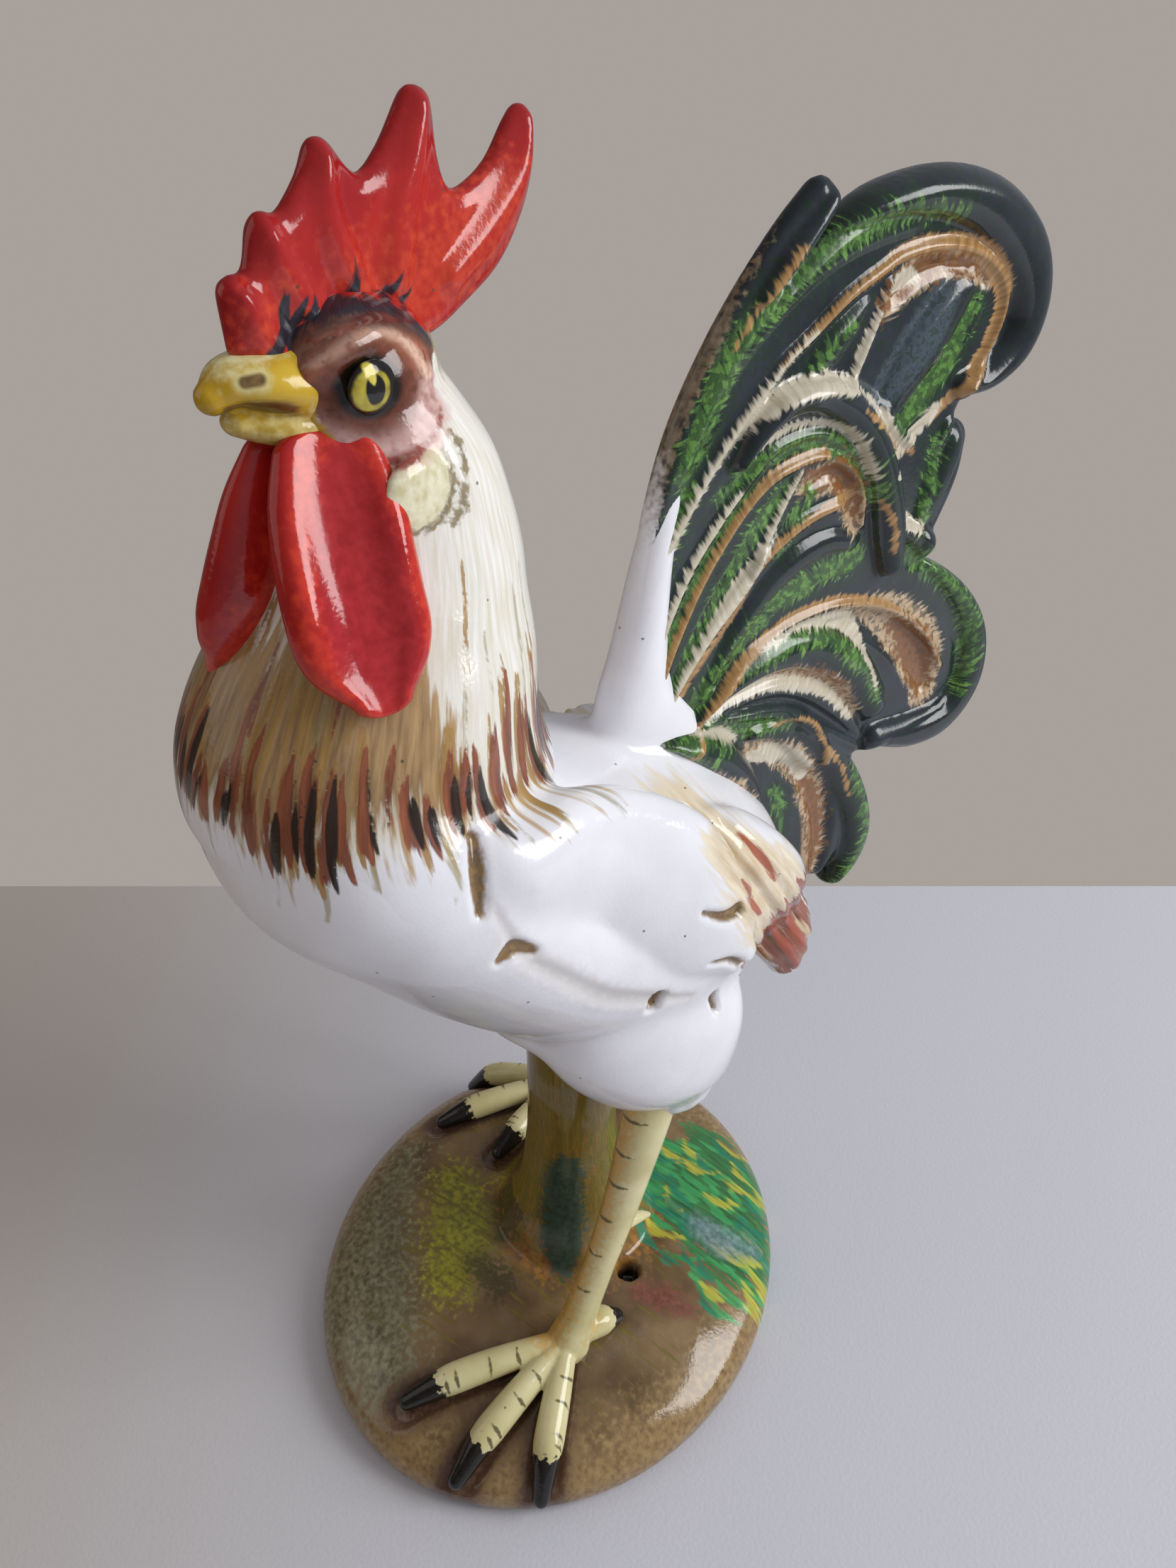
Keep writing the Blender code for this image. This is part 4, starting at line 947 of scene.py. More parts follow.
def stump_solid():
    foot = float(ground(*STUMP_AT))
    height = BODY_BELLY + 12 - foot
    rows = [(foot + share * height, STUMP_HALF + flare * STUMP_FLARE) for share, flare in STUMP_SECTIONS]
    return joined_rings([oval(np.array((*STUMP_AT, z)), X, half, Y, half) for z, half in through(rows, 5)])


plinth = melted("plinth", [dome_solid(), stump_solid()], 0.8, 3)
points = points_of(plinth)
top = soft(normals_of(plinth)[:, 2], 0.2, 0.6)
stump_off = soft(np.hypot(points[:, 0] - STUMP_AT[0], points[:, 1] - STUMP_AT[1]), 22, 26)
furrow = soft(inside_any(points[:, :2], furrow_lines(0, 4.0)), 0, 3.2)
points[:, 2] -= furrow * FURROW_DEEP * top * stump_off
vent = np.hypot(points[:, 0] - VENT_AT[0], points[:, 1] - VENT_AT[1])
points[:, 2] -= soft(vent, VENT_HALF + 0.6, VENT_HALF - 0.6) * top * VENT_DEEP
move_points(plinth, points)

# %% [markdown]
# ## Legs
# Shanks and toes are rolled coils, nipped in at each joint, and each toe ends in a blunt claw
# that dips to the ground.

# %% Shanks, spurs and toes
SHANK_HALF, TOE_HALF = 4.7, 4.2
SHANK_SECTIONS = ((0, 1.45), (0.16, 1.42), (0.45, 1.1), (0.7, 0.94), (0.88, 1.02), (1, 1.34))
# Share of the reach, width and lift as shares of the toe
TOE_ROLL = (
    (0, 0.72, 0.5), (0.2, 0.82, 0.48), (0.45, 0.95, 0.45), (0.7, 1, 0.4), (0.82, 0.86, 0.32), (1, 0.58, 0.14),
)
leg_lines = {}


def shank_rows(side):
    y = BODY_FRONT + THIGH_ALONG[side] * BODY_LENGTH
    top = np.array((side * HIP_SPREAD, y - 1.5, THIGH_FOOT + 11.0))
    foot = np.array((*FEET[side], ground(*FEET[side]) + 2.8))
    rows = []
    for share, width in SHANK_SECTIONS:
        place = top + (foot - top) * share
        place[1] += 3.0 * math.sin(math.pi * share)
        rows.append((*place, width * SHANK_HALF, width * SHANK_HALF))
    return rows


def toe_rows(side, reach, heading):
    rows = []
    for share, width, lift in TOE_ROLL:
        x, y = toe_end(side, reach * share, heading)
        rows.append((x, y, float(ground(x, y)) + lift * 2 * TOE_HALF, width * TOE_HALF, width * TOE_HALF))
    return rows


def leg(side, name):
    shank = shank_rows(side)
    x, y, z, half, _ = through(shank, 2)[5]
    spur = [(x, y, z, 2.5, 2.5), (x, y + half + 4, z - 2, 1.8, 1.8), (x, y + half + 8, z - 4.2, 0.9, 0.9)]
    toes = [toe_rows(side, *toe) for toe in TOES[side]]
    leg_lines[side] = {"shank": shank, "toes": toes}
    solids = [roll(shank, X), roll(spur, X)] + [roll(rows, Z) for rows in toes]
    return melted(name, solids, 0.45, 3)


# Legs are thin, so their rings get fewer points
SIDES = 32
leg_left, leg_right = leg(LEFT, "leg_left"), leg(RIGHT, "leg_right")

# %% [markdown]
# ## Colours and glaze
# The ware is white clay. Metal oxides are painted on it: iron gives reds, browns and ochres, copper
# gives greens, cobalt and manganese give blue-blacks. A clear lead glaze over everything gives the
# wet gloss, bends light a little more than window glass, and has pinholes where gas came through.


# %% Colours
def linear(hex_code):
    """An sRGB hex colour as linear red, green, blue and alpha."""
    parts = [int(hex_code[i : i + 2], 16) / 255 for i in (1, 3, 5)]
    return (*[c / 12.92 if c <= 0.04045 else ((c + 0.055) / 1.055) ** 2.4 for c in parts], 1.0)


def bare_tree(owner):
    """The emptied node tree of a material or a world."""
    owner.use_nodes = True
    owner.node_tree.nodes.clear()
    return owner.node_tree


def add(tree, kind, feeds=None, **settings):
    """Adds a shader node, sets its properties, then gives each socket a link or a value.

    A node in feeds stands for its first output.
    """
    node = tree.nodes.new("ShaderNode" + kind)
    for key, value in settings.items():
        setattr(node, key, value)
    for key, feed in (feeds or {}).items():
        if isinstance(feed, bpy.types.Node):
            feed = feed.outputs[0]
        if isinstance(feed, bpy.types.NodeSocket):
            tree.links.new(feed, node.inputs[key])
        else:
            node.inputs[key].default_value = feed
    return node


print("a mid grey is", round(linear("#808080")[0], 3))

# %% [markdown]
# Paint is kept as numbers on the points of a piece: for each oxide, how deep a point lies inside its
# strokes, in mm. The material turns that into a crisp edge, and moves the edge by noise that runs
# with the brush's hairs. A picture of the strokes would need unwrapping and would be tied to its size.

# %% A painted and glazed material
LEAD_GLAZE_IOR = 1.56
PEEL_DEEP = 0.012
# Pinholes: brown dots a few mm apart, with their cells in a mm and their half width as shares of one
PINHOLE_CELLS, PINHOLE_HALF, PINHOLE_FADED = 0.13, 0.036, 0.048


def keep(piece, name, values):
    """Keeps a number on each of a piece's points."""
    layer = piece.data.attributes.new(name, "FLOAT", "POINT")
    layer.data.foreach_set("value", np.asarray(values, np.float32))


def lay(piece, where=True, **depths):
    """Lays oxides, each by its depth inside its strokes in mm, and none outside where."""
    for name, depth in depths.items():
        keep(piece, name, np.where(where, np.clip(depth, -FAR, FAR), -FAR))


def painted(name, ground, layers, wobble=0.5, smooth=0.09):
    """Glaze over a ground of two colours and layers of oxide.

    A layer is its attribute, two colours, how softly it ends and how far the brush's hairs ("h") or
    a sponge's holes ("s") move its end, both in mm, and how well it covers.
    """
    material = bpy.data.materials.new(name)
    tree = bare_tree(material)
    here = add(tree, "TexCoord").outputs["Object"]
    here = add(tree, "VectorMath", {0: here, "Scale": 1 / MM}, operation="SCALE")
    strand, along = [add(tree, "Attribute", attribute_name=key).outputs["Fac"] for key in ("strand", "along")]
    hair = add(tree, "CombineXYZ", {0: strand, 1: along})
    hair = add(tree, "VectorMath", {0: hair, 1: (1.0, 0.11, 0.0)}, operation="MULTIPLY")
    # Noises, so many lumps in a mm: hairs, holes, clouds, slow waves and orange peel
    noises = [("h", hair, 0.75, 4), ("s", here, 0.55, 4), ("cloud", here, 0.07, 3)]
    noises += [("wave", here, 0.045, 0), ("peel", here, 1.1, 1)]
    marks = {}
    for key, vector, scale, detail in noises:
        noise = add(tree, "TexNoise", {"Vector": vector, "Scale": scale, "Detail": detail})
        marks[key] = add(tree, "MapRange", {"Value": noise, "From Min": 0.32, "From Max": 0.68})
    shades = {0: marks["cloud"], 6: linear(ground[0]), 7: linear(ground[1])}
    colour = add(tree, "Mix", shades, data_type="RGBA").outputs[2]
    for attribute, dark, light, edge, tool, ragged, cover in layers:
        depth = add(tree, "Attribute", attribute_name=attribute).outputs["Fac"]
        moved = add(tree, "Math", {0: marks[tool], 1: 2 * ragged, 2: depth}, operation="MULTIPLY_ADD")
        ends = {"Value": moved, "From Min": ragged - edge, "From Max": ragged + edge, "To Max": cover}
        mask = add(tree, "MapRange", ends, interpolation_type="SMOOTHSTEP")
        shades = {0: marks[tool], 6: linear(dark), 7: linear(light)}
        shade = add(tree, "Mix", shades, data_type="RGBA").outputs[2]
        colour = add(tree, "Mix", {0: mask, 6: colour, 7: shade}, data_type="RGBA").outputs[2]
    dots = add(tree, "TexVoronoi", {"Vector": here, "Scale": PINHOLE_CELLS}).outputs["Distance"]
    ends = {"Value": dots, "From Min": PINHOLE_HALF, "From Max": PINHOLE_FADED, "To Min": 0.75, "To Max": 0.0}
    dots = add(tree, "MapRange", ends)
    colour = add(tree, "Mix", {0: dots, 6: colour, 7: linear("#4A3C30")}, data_type="RGBA").outputs[2]
    gloss = add(tree, "MapRange", {"Value": marks["cloud"], "To Min": smooth, "To Max": smooth + 0.09})
    # The glaze pools into slow waves, with a very fine orange peel over them
    waves = add(tree, "Bump", {"Height": marks["wave"], "Distance": wobble * MM, "Strength": 1.0})
    peel = {"Height": marks["peel"], "Distance": PEEL_DEEP * MM, "Strength": 1.0, "Normal": waves}
    feeds = {"Base Color": colour, "Roughness": gloss, "IOR": LEAD_GLAZE_IOR, "Normal": add(tree, "Bump", peel)}
    add(tree, "OutputMaterial", {"Surface": add(tree, "BsdfPrincipled", feeds)})
    return material


def glaze(piece, material):
    piece.data.materials.clear()
    piece.data.materials.append(material)


print("paint is thresholded in the material, from numbers in mm")

# %% [markdown]
# ## Painting the neck
# The hem of the neck hackle is a ring of short feather strokes in red-brown, black and ochre, each
# pulled down with a loaded brush. They are laid out on the neck unrolled: how far round, from the
# front, and how high. The wash above them is thin iron on the front half only.

# %% Round the neck
figure_points = points_of(figure)
fx, fy, fz = figure_points.T
NECK_RADIUS = 34.0
neck_axis = np.interp(fz, neck_z, neck_middle)
round_neck = np.arctan2(fx, neck_axis - fy)
unrolled = np.column_stack([round_neck * NECK_RADIUS, fz])
on_neck = (fz > 192) & (np.hypot(fx, fy - neck_axis) < 52) & (fy < 20)
# Degrees from the front, the hem's height, the strokes' length and the top of the tan wash
HEM = (
    (0, 221, 15, 252), (19, 220, 16, 252), (33, 214, 19, 255), (52, 215, 18, 262), (68, 218, 14, 262),
    (78, 218, 12, 252), (90, 216, 13, 236), (104, 217, 18, 226), (118, 214, 24, 220), (135, 213, 22, 217),
    (153, 213, 18, 216), (180, 213, 16, 216),
)
hem_angle, hem_low, hem_long, wash_top = np.array(HEM, float).T


def hem_at(angle, side=hem_low):
    return float(np.interp(abs(angle), hem_angle, side))


rng = random.Random(11)
hem = {"russet": [], "black": [], "ochre": [], "olive": []}


def hem_stroke(kind, angle, foot, top, half, lean):
    u = math.radians(angle) * NECK_RADIUS
    middle = (foot + top) / 2
    rows = [(u - lean, top, 0.25), (u - lean * 0.5, middle + 2, half)]
    hem[kind].append(rows + [(u, foot + 3, half * 0.9), (u + lean * 0.4, foot, 0.25)])


angle = -178.0
while angle < 178:
    low, long = hem_at(angle), hem_at(angle, hem_long)
    foot = low + rng.uniform(-2.5, 3.5)
    top = foot + long * rng.uniform(0.75, 1.2)
    lean = rng.uniform(-1.6, 1.6)
    hem_stroke("russet", angle, foot, top, rng.uniform(0.9, 1.5), lean)
    if rng.random() < 0.72:
        shorter = rng.uniform(0, 0.35) * long
        beside, lower = angle + rng.uniform(1.4, 3.0), foot - rng.uniform(-2, 2.5)
        hem_stroke("black", beside, lower, top - shorter, rng.uniform(0.5, 1.1), lean)
    if rng.random() < 0.6:
        beside, lower = angle - rng.uniform(1.6, 3.0), foot + rng.uniform(-4.0, 3.0)
        hem_stroke("ochre", beside, lower, top + rng.uniform(0, 5), rng.uniform(0.6, 1.1), lean)
    if abs(angle) > 105 or rng.random() < 0.35:
        beside, lower = angle + rng.uniform(-3, 3), foot - rng.uniform(2, 9)
        hem_stroke("olive", beside, lower, foot + rng.uniform(4, 10), rng.uniform(0.3, 0.5), lean - 1.5)
    angle += rng.uniform(5.2, 8.4) if abs(angle) > 70 else rng.uniform(4.2, 6.4)
# Finer, darker lines higher up the front
for _ in range(90):
    angle = rng.uniform(-85, 60)
    foot = hem_at(angle) + rng.uniform(11, 26)
    kind = rng.choice(("russet", "ochre", "ochre", "olive"))
    hem_stroke(kind, angle, foot, foot + rng.uniform(6, 16), rng.uniform(0.45, 0.8), rng.uniform(-1, 1))
# Thin strands up the back of the neck
for _ in range(30):
    angle = rng.uniform(92, 150) * rng.choice((LEFT, RIGHT))
    foot = hem_at(angle) + rng.uniform(8, 28)
    kind = rng.choice(("olive", "ochre"))
    hem_stroke(kind, angle, foot, foot + rng.uniform(10, 22), rng.uniform(0.3, 0.55), rng.uniform(-0.6, 0.6))
for kind, rows in hem.items():
    found = np.full(len(unrolled), -FAR)
    found[on_neck] = inside_any(unrolled[on_neck], rows)
    lay(figure, **{kind: found})
degrees = np.degrees(np.abs(round_neck))
above_hem = fz - np.interp(degrees, hem_angle, hem_low)
lay(figure, fy < 20, hackle=above_hem)
lay(figure, on_neck, wash=np.minimum(np.interp(degrees, hem_angle, wash_top) - fz, above_hem - 2))
print(sum(len(rows) for rows in hem.values()), "strokes round the neck")

# %% [markdown]
# ## Painting the face
# The face is painted the same on both sides of the head, so its places are given back along the
# head and up from its middle. Brown iron is strongest round the eye and fades to a pale cheek.

# %% The face and ear lobes
FACE_OUTLINE = (
    (-17.5, 8), (-14, 11), (-10, 14), (-5, 15.5), (0, 15.8), (5, 15.2), (10, 13.6), (13.4, 9.6), (12.4, 5),
    (8.8, 2.8), (7.4, -1.5), (7, -4.7), (3.5, -7), (-1.5, -8.4), (-7.7, -9.2), (-10.8, -7.4), (-12.6, -4.1),
    (-14.8, 1.8), (-17.2, 5.5),
)
FACE = {
    "pale": [((-12.5, -3.2, 1.4), (-9.5, -6, 2.4), (-4, -6.9, 2.6), (2, -5.6, 3), (5.6, -3, 2.6), (6.4, 0.5, 1.6))],
    # The brow is a pale cream band on the brow ridge, partly the face's own paint and partly painted highlight
    "brow": [((-13, 6.2, 0.6), (-9.5, 8.2, 1.2), (-4.6, 9.4, 1.5), (0.6, 8, 1.4), (4.2, 4.9, 1.4), (6.6, 1.6, 1))],
    "rust": [
        ((-8, 8, 0.5), (-3, 8.2, 1.1), (1.4, 5.8, 1.2), (3.4, 3, 0.6)),
        ((-14.5, 4.5, 0.8), (-11.5, 5.6, 1), (-9.8, 5, 0.5)), ((2, 10.6, 0.5), (5.8, 7, 0.9), (7.6, 3.6, 0.5)),
    ],
    "arch": [
        ((-15.4, 7, 0.8), (-11.2, 10, 1.3), (-5.2, 11.8, 1.3), (0.6, 11.2, 1.5), (5.8, 8.8, 1.5), (9.8, 5.2, 1)),
    ],
    "nape": [((10.4, 6.4, 0.6), (11.6, 4.6, 1.4), (12.4, 2.4, 1.2), (12, 0, 0.4))],
    "cheek": [
        ((-12.6, -4.6, 0.25), (-10.6, -7.4, 0.45), (-7, -9.2, 0.5), (-1.5, -8.5, 0.55), (3.8, -6.8, 0.5),
         (7, -4.2, 0.3)),
    ],
}
LASHES = [
    ((-18, 6, 0.6), (-16.2, 7.8, 1), (-13.6, 9.6, 1.3), (-10, 11.6, 0.9), (-5, 12.8, 0.9), (0.5, 12.4, 0.9),
     (4.8, 10.8, 0.9), (8, 8.2, 0.7), (10.4, 5.2, 0.4)), ((-14.2, 9.4, 1.2), (-13.2, 12.4, 1.1), (-13.4, 16.4, 0.1)),
    ((-8, 11.8, 0.9), (-7.4, 13.6, 0.5), (-7.4, 14.6, 0.1)),
    ((-3.4, 12.8, 1.1), (-2.4, 14.4, 0.7), (-1.9, 16.4, 0.2)), ((0.8, 12.4, 0.8), (1.6, 13.6, 0.4), (1.8, 14.6, 0.1)),
    ((3.4, 11.6, 1), (6, 13, 0.7), (7.8, 14.8, 0.1)), ((6, 10, 0.8), (8.4, 10.6, 0.5), (10.4, 11.4, 0.1)),
]
COMB_LASHES = [
    ((-18, 6, 0.6), (-16, 8, 1), (-13.4, 10, 1.3), (-10, 11.6, 0.8), (-6, 12.4, 0.6), (0, 12.6, 0.6)),
    ((-12.8, 9, 1.3), (-12.6, 12.6, 1.1), (-12.4, 16.6, 0.1)),
    ((-11.4, 10.6, 1), (-10.2, 13, 0.7), (-8.8, 14.6, 0.1)), ((-8.6, 11.8, 0.8), (-7.6, 13.4, 0.5), (-7.2, 15, 0.1)),
    ((-4.4, 12, 0.8), (-3.8, 13.2, 0.4), (-3.4, 14.4, 0.1)),
    ((-1.2, 11, 1.5), (0, 13.6, 1.2), (0.8, 16, 0.7), (1.2, 18.6, 0.1)),
    ((3.1, 11.2, 0.7), (3.5, 12.8, 0.5), (3.7, 14.2, 0.1)),
    ((5.6, 10.6, 1.1), (7.6, 12.2, 1), (9.2, 13.6, 0.6), (10.4, 15, 0.1)),
    ((9.4, 9.8, 0.9), (11.2, 10.8, 0.6), (13, 12, 0.1)),
]
# The comb's red comes down over the head as far as the lashes
CROWN = (
    (-19, 7), (-16.2, 8.4), (-13.6, 10.4), (-10, 12.4), (-5, 13.5), (0.5, 13.1), (4.8, 11.5), (8, 8.9), (10.6, 6),
    (15, 9), (13, 20), (0, 26), (-14, 24), (-22, 16),
)
LOBE_SHADE = (
    ((7, -7, 0.4), (8, -11, 1), (7.6, -13.4, 0.6)), ((6.4, -15, 0.4), (5.6, -18.4, 1), (3, -21, 0.6)),
    ((-5.5, -12, 0.8), (-4.6, -17, 1.6), (-2.6, -20, 1.2)),
)
MOUTH = (
    (0.5, -26, 0.5, 0.6), (2.6, -24.6, 0.9, 1.1), (4.9, -21.6, 1, 1.5), (6.8, -18.6, 0.4, 1.7), (8.6, -16, -1.4, 1.4),
    (9.6, -13, -3.9, 0.7),
)
LOBE_PAINT_UP, LOBE_PAINT_HALVES = 2.4, (12, 7.0, 7.6)


def from_head(points):
    """Out to the side, back and up from the head's middle."""
    shift = points - HEAD_MIDDLE
    return np.column_stack([shift @ HEAD_OUT, shift @ HEAD_BACK, shift[:, 2]])


def both_sides(places):
    return np.column_stack([np.abs(places[:, 0]), places[:, 1:]])


head_places = from_head(figure_points)
face_side = head_places[:, 1:]
back, up = face_side.T
on_face = (up > -11) & (fy < 0)
from_eye = np.linalg.norm((face_side - EYE_AT) / (1.1, 1.0), axis=1)
lay(figure, on_face, **{name: inside_any(face_side, rows) for name, rows in FACE.items()})
lay(figure, on_face, face=inside_outline(face_side, FACE_OUTLINE), crown=inside_outline(face_side, CROWN))
lay(figure, on_face, lash=inside_any(face_side, LASHES), eye_glow=7.6 - from_eye, eye_ring=4.9 - from_eye)
lay(figure, on_face, mouth=inside(both_sides(head_places), MOUTH)[0])
# The beak's colour runs back to the corner of the mouth
gape_step = unit(np.array((4.8, -11.4)))
gape = (back + 16.9) * gape_step[1] - (up - 7.3) * gape_step[0]
lay(figure, on_face & (back < -8) & (up > -6.5) & (up < 8), gape=gape)
lobe_shifts = [figure_points - lobe_middle[side] - LOBE_PAINT_UP * Z for side in (LEFT, RIGHT)]
lobe_share = np.minimum(*[np.linalg.norm(shift / LOBE_PAINT_HALVES, axis=1) for shift in lobe_shifts])
lobe_depth = np.clip((1 - lobe_share) * 8, -FAR, FAR)
rear = soft(back, -3, 1) + soft(up, -18, -20)
lobe_line = np.where(rear > 0.4, 1.0 - np.abs(lobe_depth + 0.3), -FAR)
on_lobe = (np.abs(head_places[:, 0]) > 8) & (up > -26)
lay(figure, on_lobe, lobe=lobe_depth, lobe_edge=np.maximum(lobe_line, inside_any(face_side, LOBE_SHADE)))
print(len(LASHES) + len(COMB_LASHES), "lash strokes")

# %% [markdown]
# ## Painting the saddles and small marks
# The saddle tufts are cream with russet strands that end in a solid russet tip. Slots and nicks in
# the clay hold a little ochre, as a wash does when it is wiped off.

# %% Saddles, nicks and creases
beside = np.abs(fx) > 12
saddle_zone = np.clip(inside_saddle(figure_points), -FAR, FAR)
for name, combed, pulled in zip(("strand", "along"), saddle_strands(figure_points), unrolled.T):
    keep(figure, name, np.where(saddle_zone > -4, combed, pulled))
RED_STROKES = (
    ((25, 180, 0.5), (29, 173, 1.3), (34, 165, 1), (38, 158, 0.3)), ((33, 182, 0.4), (38, 175, 0.9), (43, 166, 0.4)),
)
saddle_strokes = {"saddle_red": list(RED_STROKES), "saddle_cream": []}
for _ in range(26):
    across, start = rng.uniform(-9, 9), rng.uniform(0.45, 0.8)
    reach = rng.uniform(0.15, 0.4)
    rows = []
    for share, half in ((start, 0.3), (start + reach * 0.5, rng.uniform(0.7, 1.3)), (start + reach, 0.3)):
        spread = 0.5 + share * 0.5
        rows.append((20 + 50 * share + across * 0.84 * spread, 188 - 76 * share + across * 0.54 * spread, half))
    saddle_strokes[rng.choice(("saddle_red", "saddle_cream", "saddle_red"))].append(rows)
for name, rows in saddle_strokes.items():
    lay(figure, beside, **{name: np.minimum(inside_any(figure_points[:, 1:], rows), saddle_zone + 0.5)})
saddle_low = (fy - 41) * 0.55 - (fz - 138) * 0.84
lay(figure, beside, saddle_tip=np.minimum(saddle_low + 9.0, saddle_zone + 0.6))
lay(figure, saddle=saddle_zone, nick=nick_depth, crease=crease_depth)
white_glaze = painted("white_tin_and_lead_glaze", ("#E3E3E8", "#EBEBF0"), (
    # Painted shade, with a little brown in it, along the crease under each wing
    ("crease", "#A2937E", "#C9C0B4", 2.4, "s", 1.2, 0.42),
    ("hackle", "#D9D2BC", "#F0EFEA", 2.5, "h", 3.0, 0.9),
    ("wash", "#7C5A2E", "#B8935A", 4.0, "h", 7.0, 0.92),
    ("olive", "#70683A", "#A39A6A", 0.4, "h", 0.7, 0.65),
    ("ochre", "#8A6636", "#AE8A50", 0.3, "h", 0.7, 0.9),
    ("russet", "#5E2E1E", "#98563C", 0.3, "h", 0.7, 0.95),
    ("black", "#17120F", "#2E241E", 0.25, "h", 0.4, 0.96),
    ("lobe_edge", "#5C4A28", "#877444", 0.5, "s", 0.8, 0.85),
    ("lobe", "#CBC298", "#E6E1C6", 0.5, "s", 0.6, 1.0),
    ("face", "#6A3C2E", "#8C5A46", 0.4, "s", 0.5, 1.0),
    ("pale", "#BC908A", "#D8B6AE", 2.4, "s", 1.0, 0.95),
    # Pale cream on the brow ridge, partly painted highlight
    ("brow", "#D9A88E", "#EBCDB8", 1.2, "s", 0.7, 0.95),
    ("rust", "#8E4A2C", "#B0694A", 0.8, "s", 0.6, 0.85),
    ("nape", "#8E7644", "#C4B07A", 1.2, "s", 1.0, 0.85),
    ("arch", "#3A2420", "#5E3E38", 0.9, "s", 0.6, 0.92),
    ("eye_glow", "#4A2418", "#6E3A28", 2.2, "s", 0.6, 0.9),
    ("eye_ring", "#120E0C", "#1C1612", 0.7, "s", 0.3, 1.0),
    ("cheek", "#7A2A20", "#9A4436", 0.4, "s", 0.3, 0.9),
    ("gape", "#A8841E", "#CDB040", 0.4, "s", 0.3, 1.0),
    ("mouth", "#4A2E1A", "#7A5A2E", 0.5, "s", 0.3, 0.92),
    ("crown", "#A31C1A", "#BE2F22", 0.5, "s", 0.4, 1.0),
    ("lash", "#1E1A1E", "#34303A", 0.3, "h", 0.5, 1.0),
    ("saddle", "#CDB68E", "#E9DEC6", 2.0, "h", 2.6, 0.95),
    ("saddle_tip", "#6E2C1A", "#9A4E2E", 1.2, "h", 5.0, 0.96),
    ("saddle_cream", "#C9AE84", "#E3D2AE", 0.4, "h", 0.6, 0.9),
    ("saddle_red", "#8A3A20", "#B05434", 0.4, "h", 0.7, 0.92),
    ("nick", "#5A421E", "#8E6C34", 0.5, "s", 0.2, 0.95),
))
glaze(figure, white_glaze)
print("saddles, nicks and creases painted")

# %% [markdown]
# ## Red for the comb and wattles
# Iron red under lead glaze: deep crimson within a few mm of the comb's edge, brick orange where it pools.

# %% Comb, wattles and beak
RED = ("#9E1A1C", "#B8251F")
POOLED = [((2, 15, 4), (14, 13, 7.5), (26, 17, 7.5), (36, 24, 4)), ((-17, 10, 3), (-12, 14, 3))]
comb_side = from_head(points_of(comb))[:, 1:]
keep(comb, "strand", comb_side[:, 0] - 0.5 * comb_side[:, 1])
keep(comb, "along", comb_side[:, 1])
lay(comb, lash=inside_any(comb_side, COMB_LASHES), rim=3.0 - comb_edge(comb_side), orange=inside_any(comb_side, POOLED))
glaze(comb, painted("iron_red_glaze_comb", RED, (
    # Darker crimson within a few mm of the comb's edge
    ("rim", "#86141A", "#A31C1E", 2.6, "s", 2.0, 0.8),
    ("orange", "#B02A1C", "#CC4428", 5.0, "s", 4.0, 0.9),
    ("lash", "#1E1A1E", "#34303A", 0.3, "h", 0.5, 1.0),
)))
red_wattle = painted("iron_red_glaze_wattle", RED, (
    # Painted shade: a darker crimson in each wattle's dished face
    ("dish", "#9A1A22", "#B42A30", 2.0, "s", 2.0, 0.85),
    # Painted highlight: a brighter red along the dish's rolled lip
    ("lip", "#B8241A", "#D03A24", 1.6, "s", 1.2, 0.9),
))
# The dish in a wattle's face, as a share of its width at each row
DISH_SHARES = (0.35, 0.5, 0.6, 0.64, 0.64, 0.5, 0.3)
for piece, side in ((wattle_left, LEFT), (wattle_right, RIGHT)):
    places = points_of(piece)
    route = wattle_rows(side)[0][:, :4]
    route[:, :3] += HEAD_OUT * side * 3.4
    route[:, 3] *= DISH_SHARES
    dish, _ = inside(places, route)
    # The dish is painted darker as painted shade, and its lip brighter as painted highlight
    lay(piece, dish=dish, lip=1.6 - np.abs(dish + 2.2))
    keep(piece, "strand", from_head(places)[:, 1])
    keep(piece, "along", from_head(places)[:, 2])
    glaze(piece, red_wattle)

# Painted highlight: cream along the top of the upper beak
BEAK_PAINTED_HIGHLIGHT = ((1.0, -16.0, 8.0, 2.6), (1.5, -20.0, 7.6, 2.8), (1.2, -24.0, 6.4, 1.6))
NOSTRIL = ((5.0, -23.0, 5.4), (5.8, -20.8, 5.4))
beak_places = from_head(points_of(beak))
sided = both_sides(beak_places)
for name, half in (("nostril_rim", 1.8), ("nostril", 0.95)):
    lay(beak, **{name: inside(sided, [(*place, half) for place in NOSTRIL])[0]})
lay(beak, cream=inside(sided, BEAK_PAINTED_HIGHLIGHT)[0], mouth=inside(sided, MOUTH)[0], below=-0.6 - beak_places[:, 2])
keep(beak, "strand", beak_places[:, 2])
keep(beak, "along", beak_places[:, 1])
glaze(beak, painted("iron_ochre_glaze_beak", ("#B48E1E", "#D4B234"), (
    ("below", "#B0923A", "#DCCB86", 1.2, "s", 1.0, 0.8),
    # Painted highlight along the top of the beak
    ("cream", "#D9CF86", "#ECE6B8", 2.0, "s", 1.0, 0.95),
    ("nostril_rim", "#CFC078", "#DFD59C", 0.8, "s", 0.1, 0.9),
    ("nostril", "#4A3418", "#7A5C30", 0.4, "s", 0.1, 0.95),
    ("mouth", "#4A2E1A", "#7A5A2E", 0.5, "h", 0.5, 0.92),
)))
print("comb, wattles and beak painted")

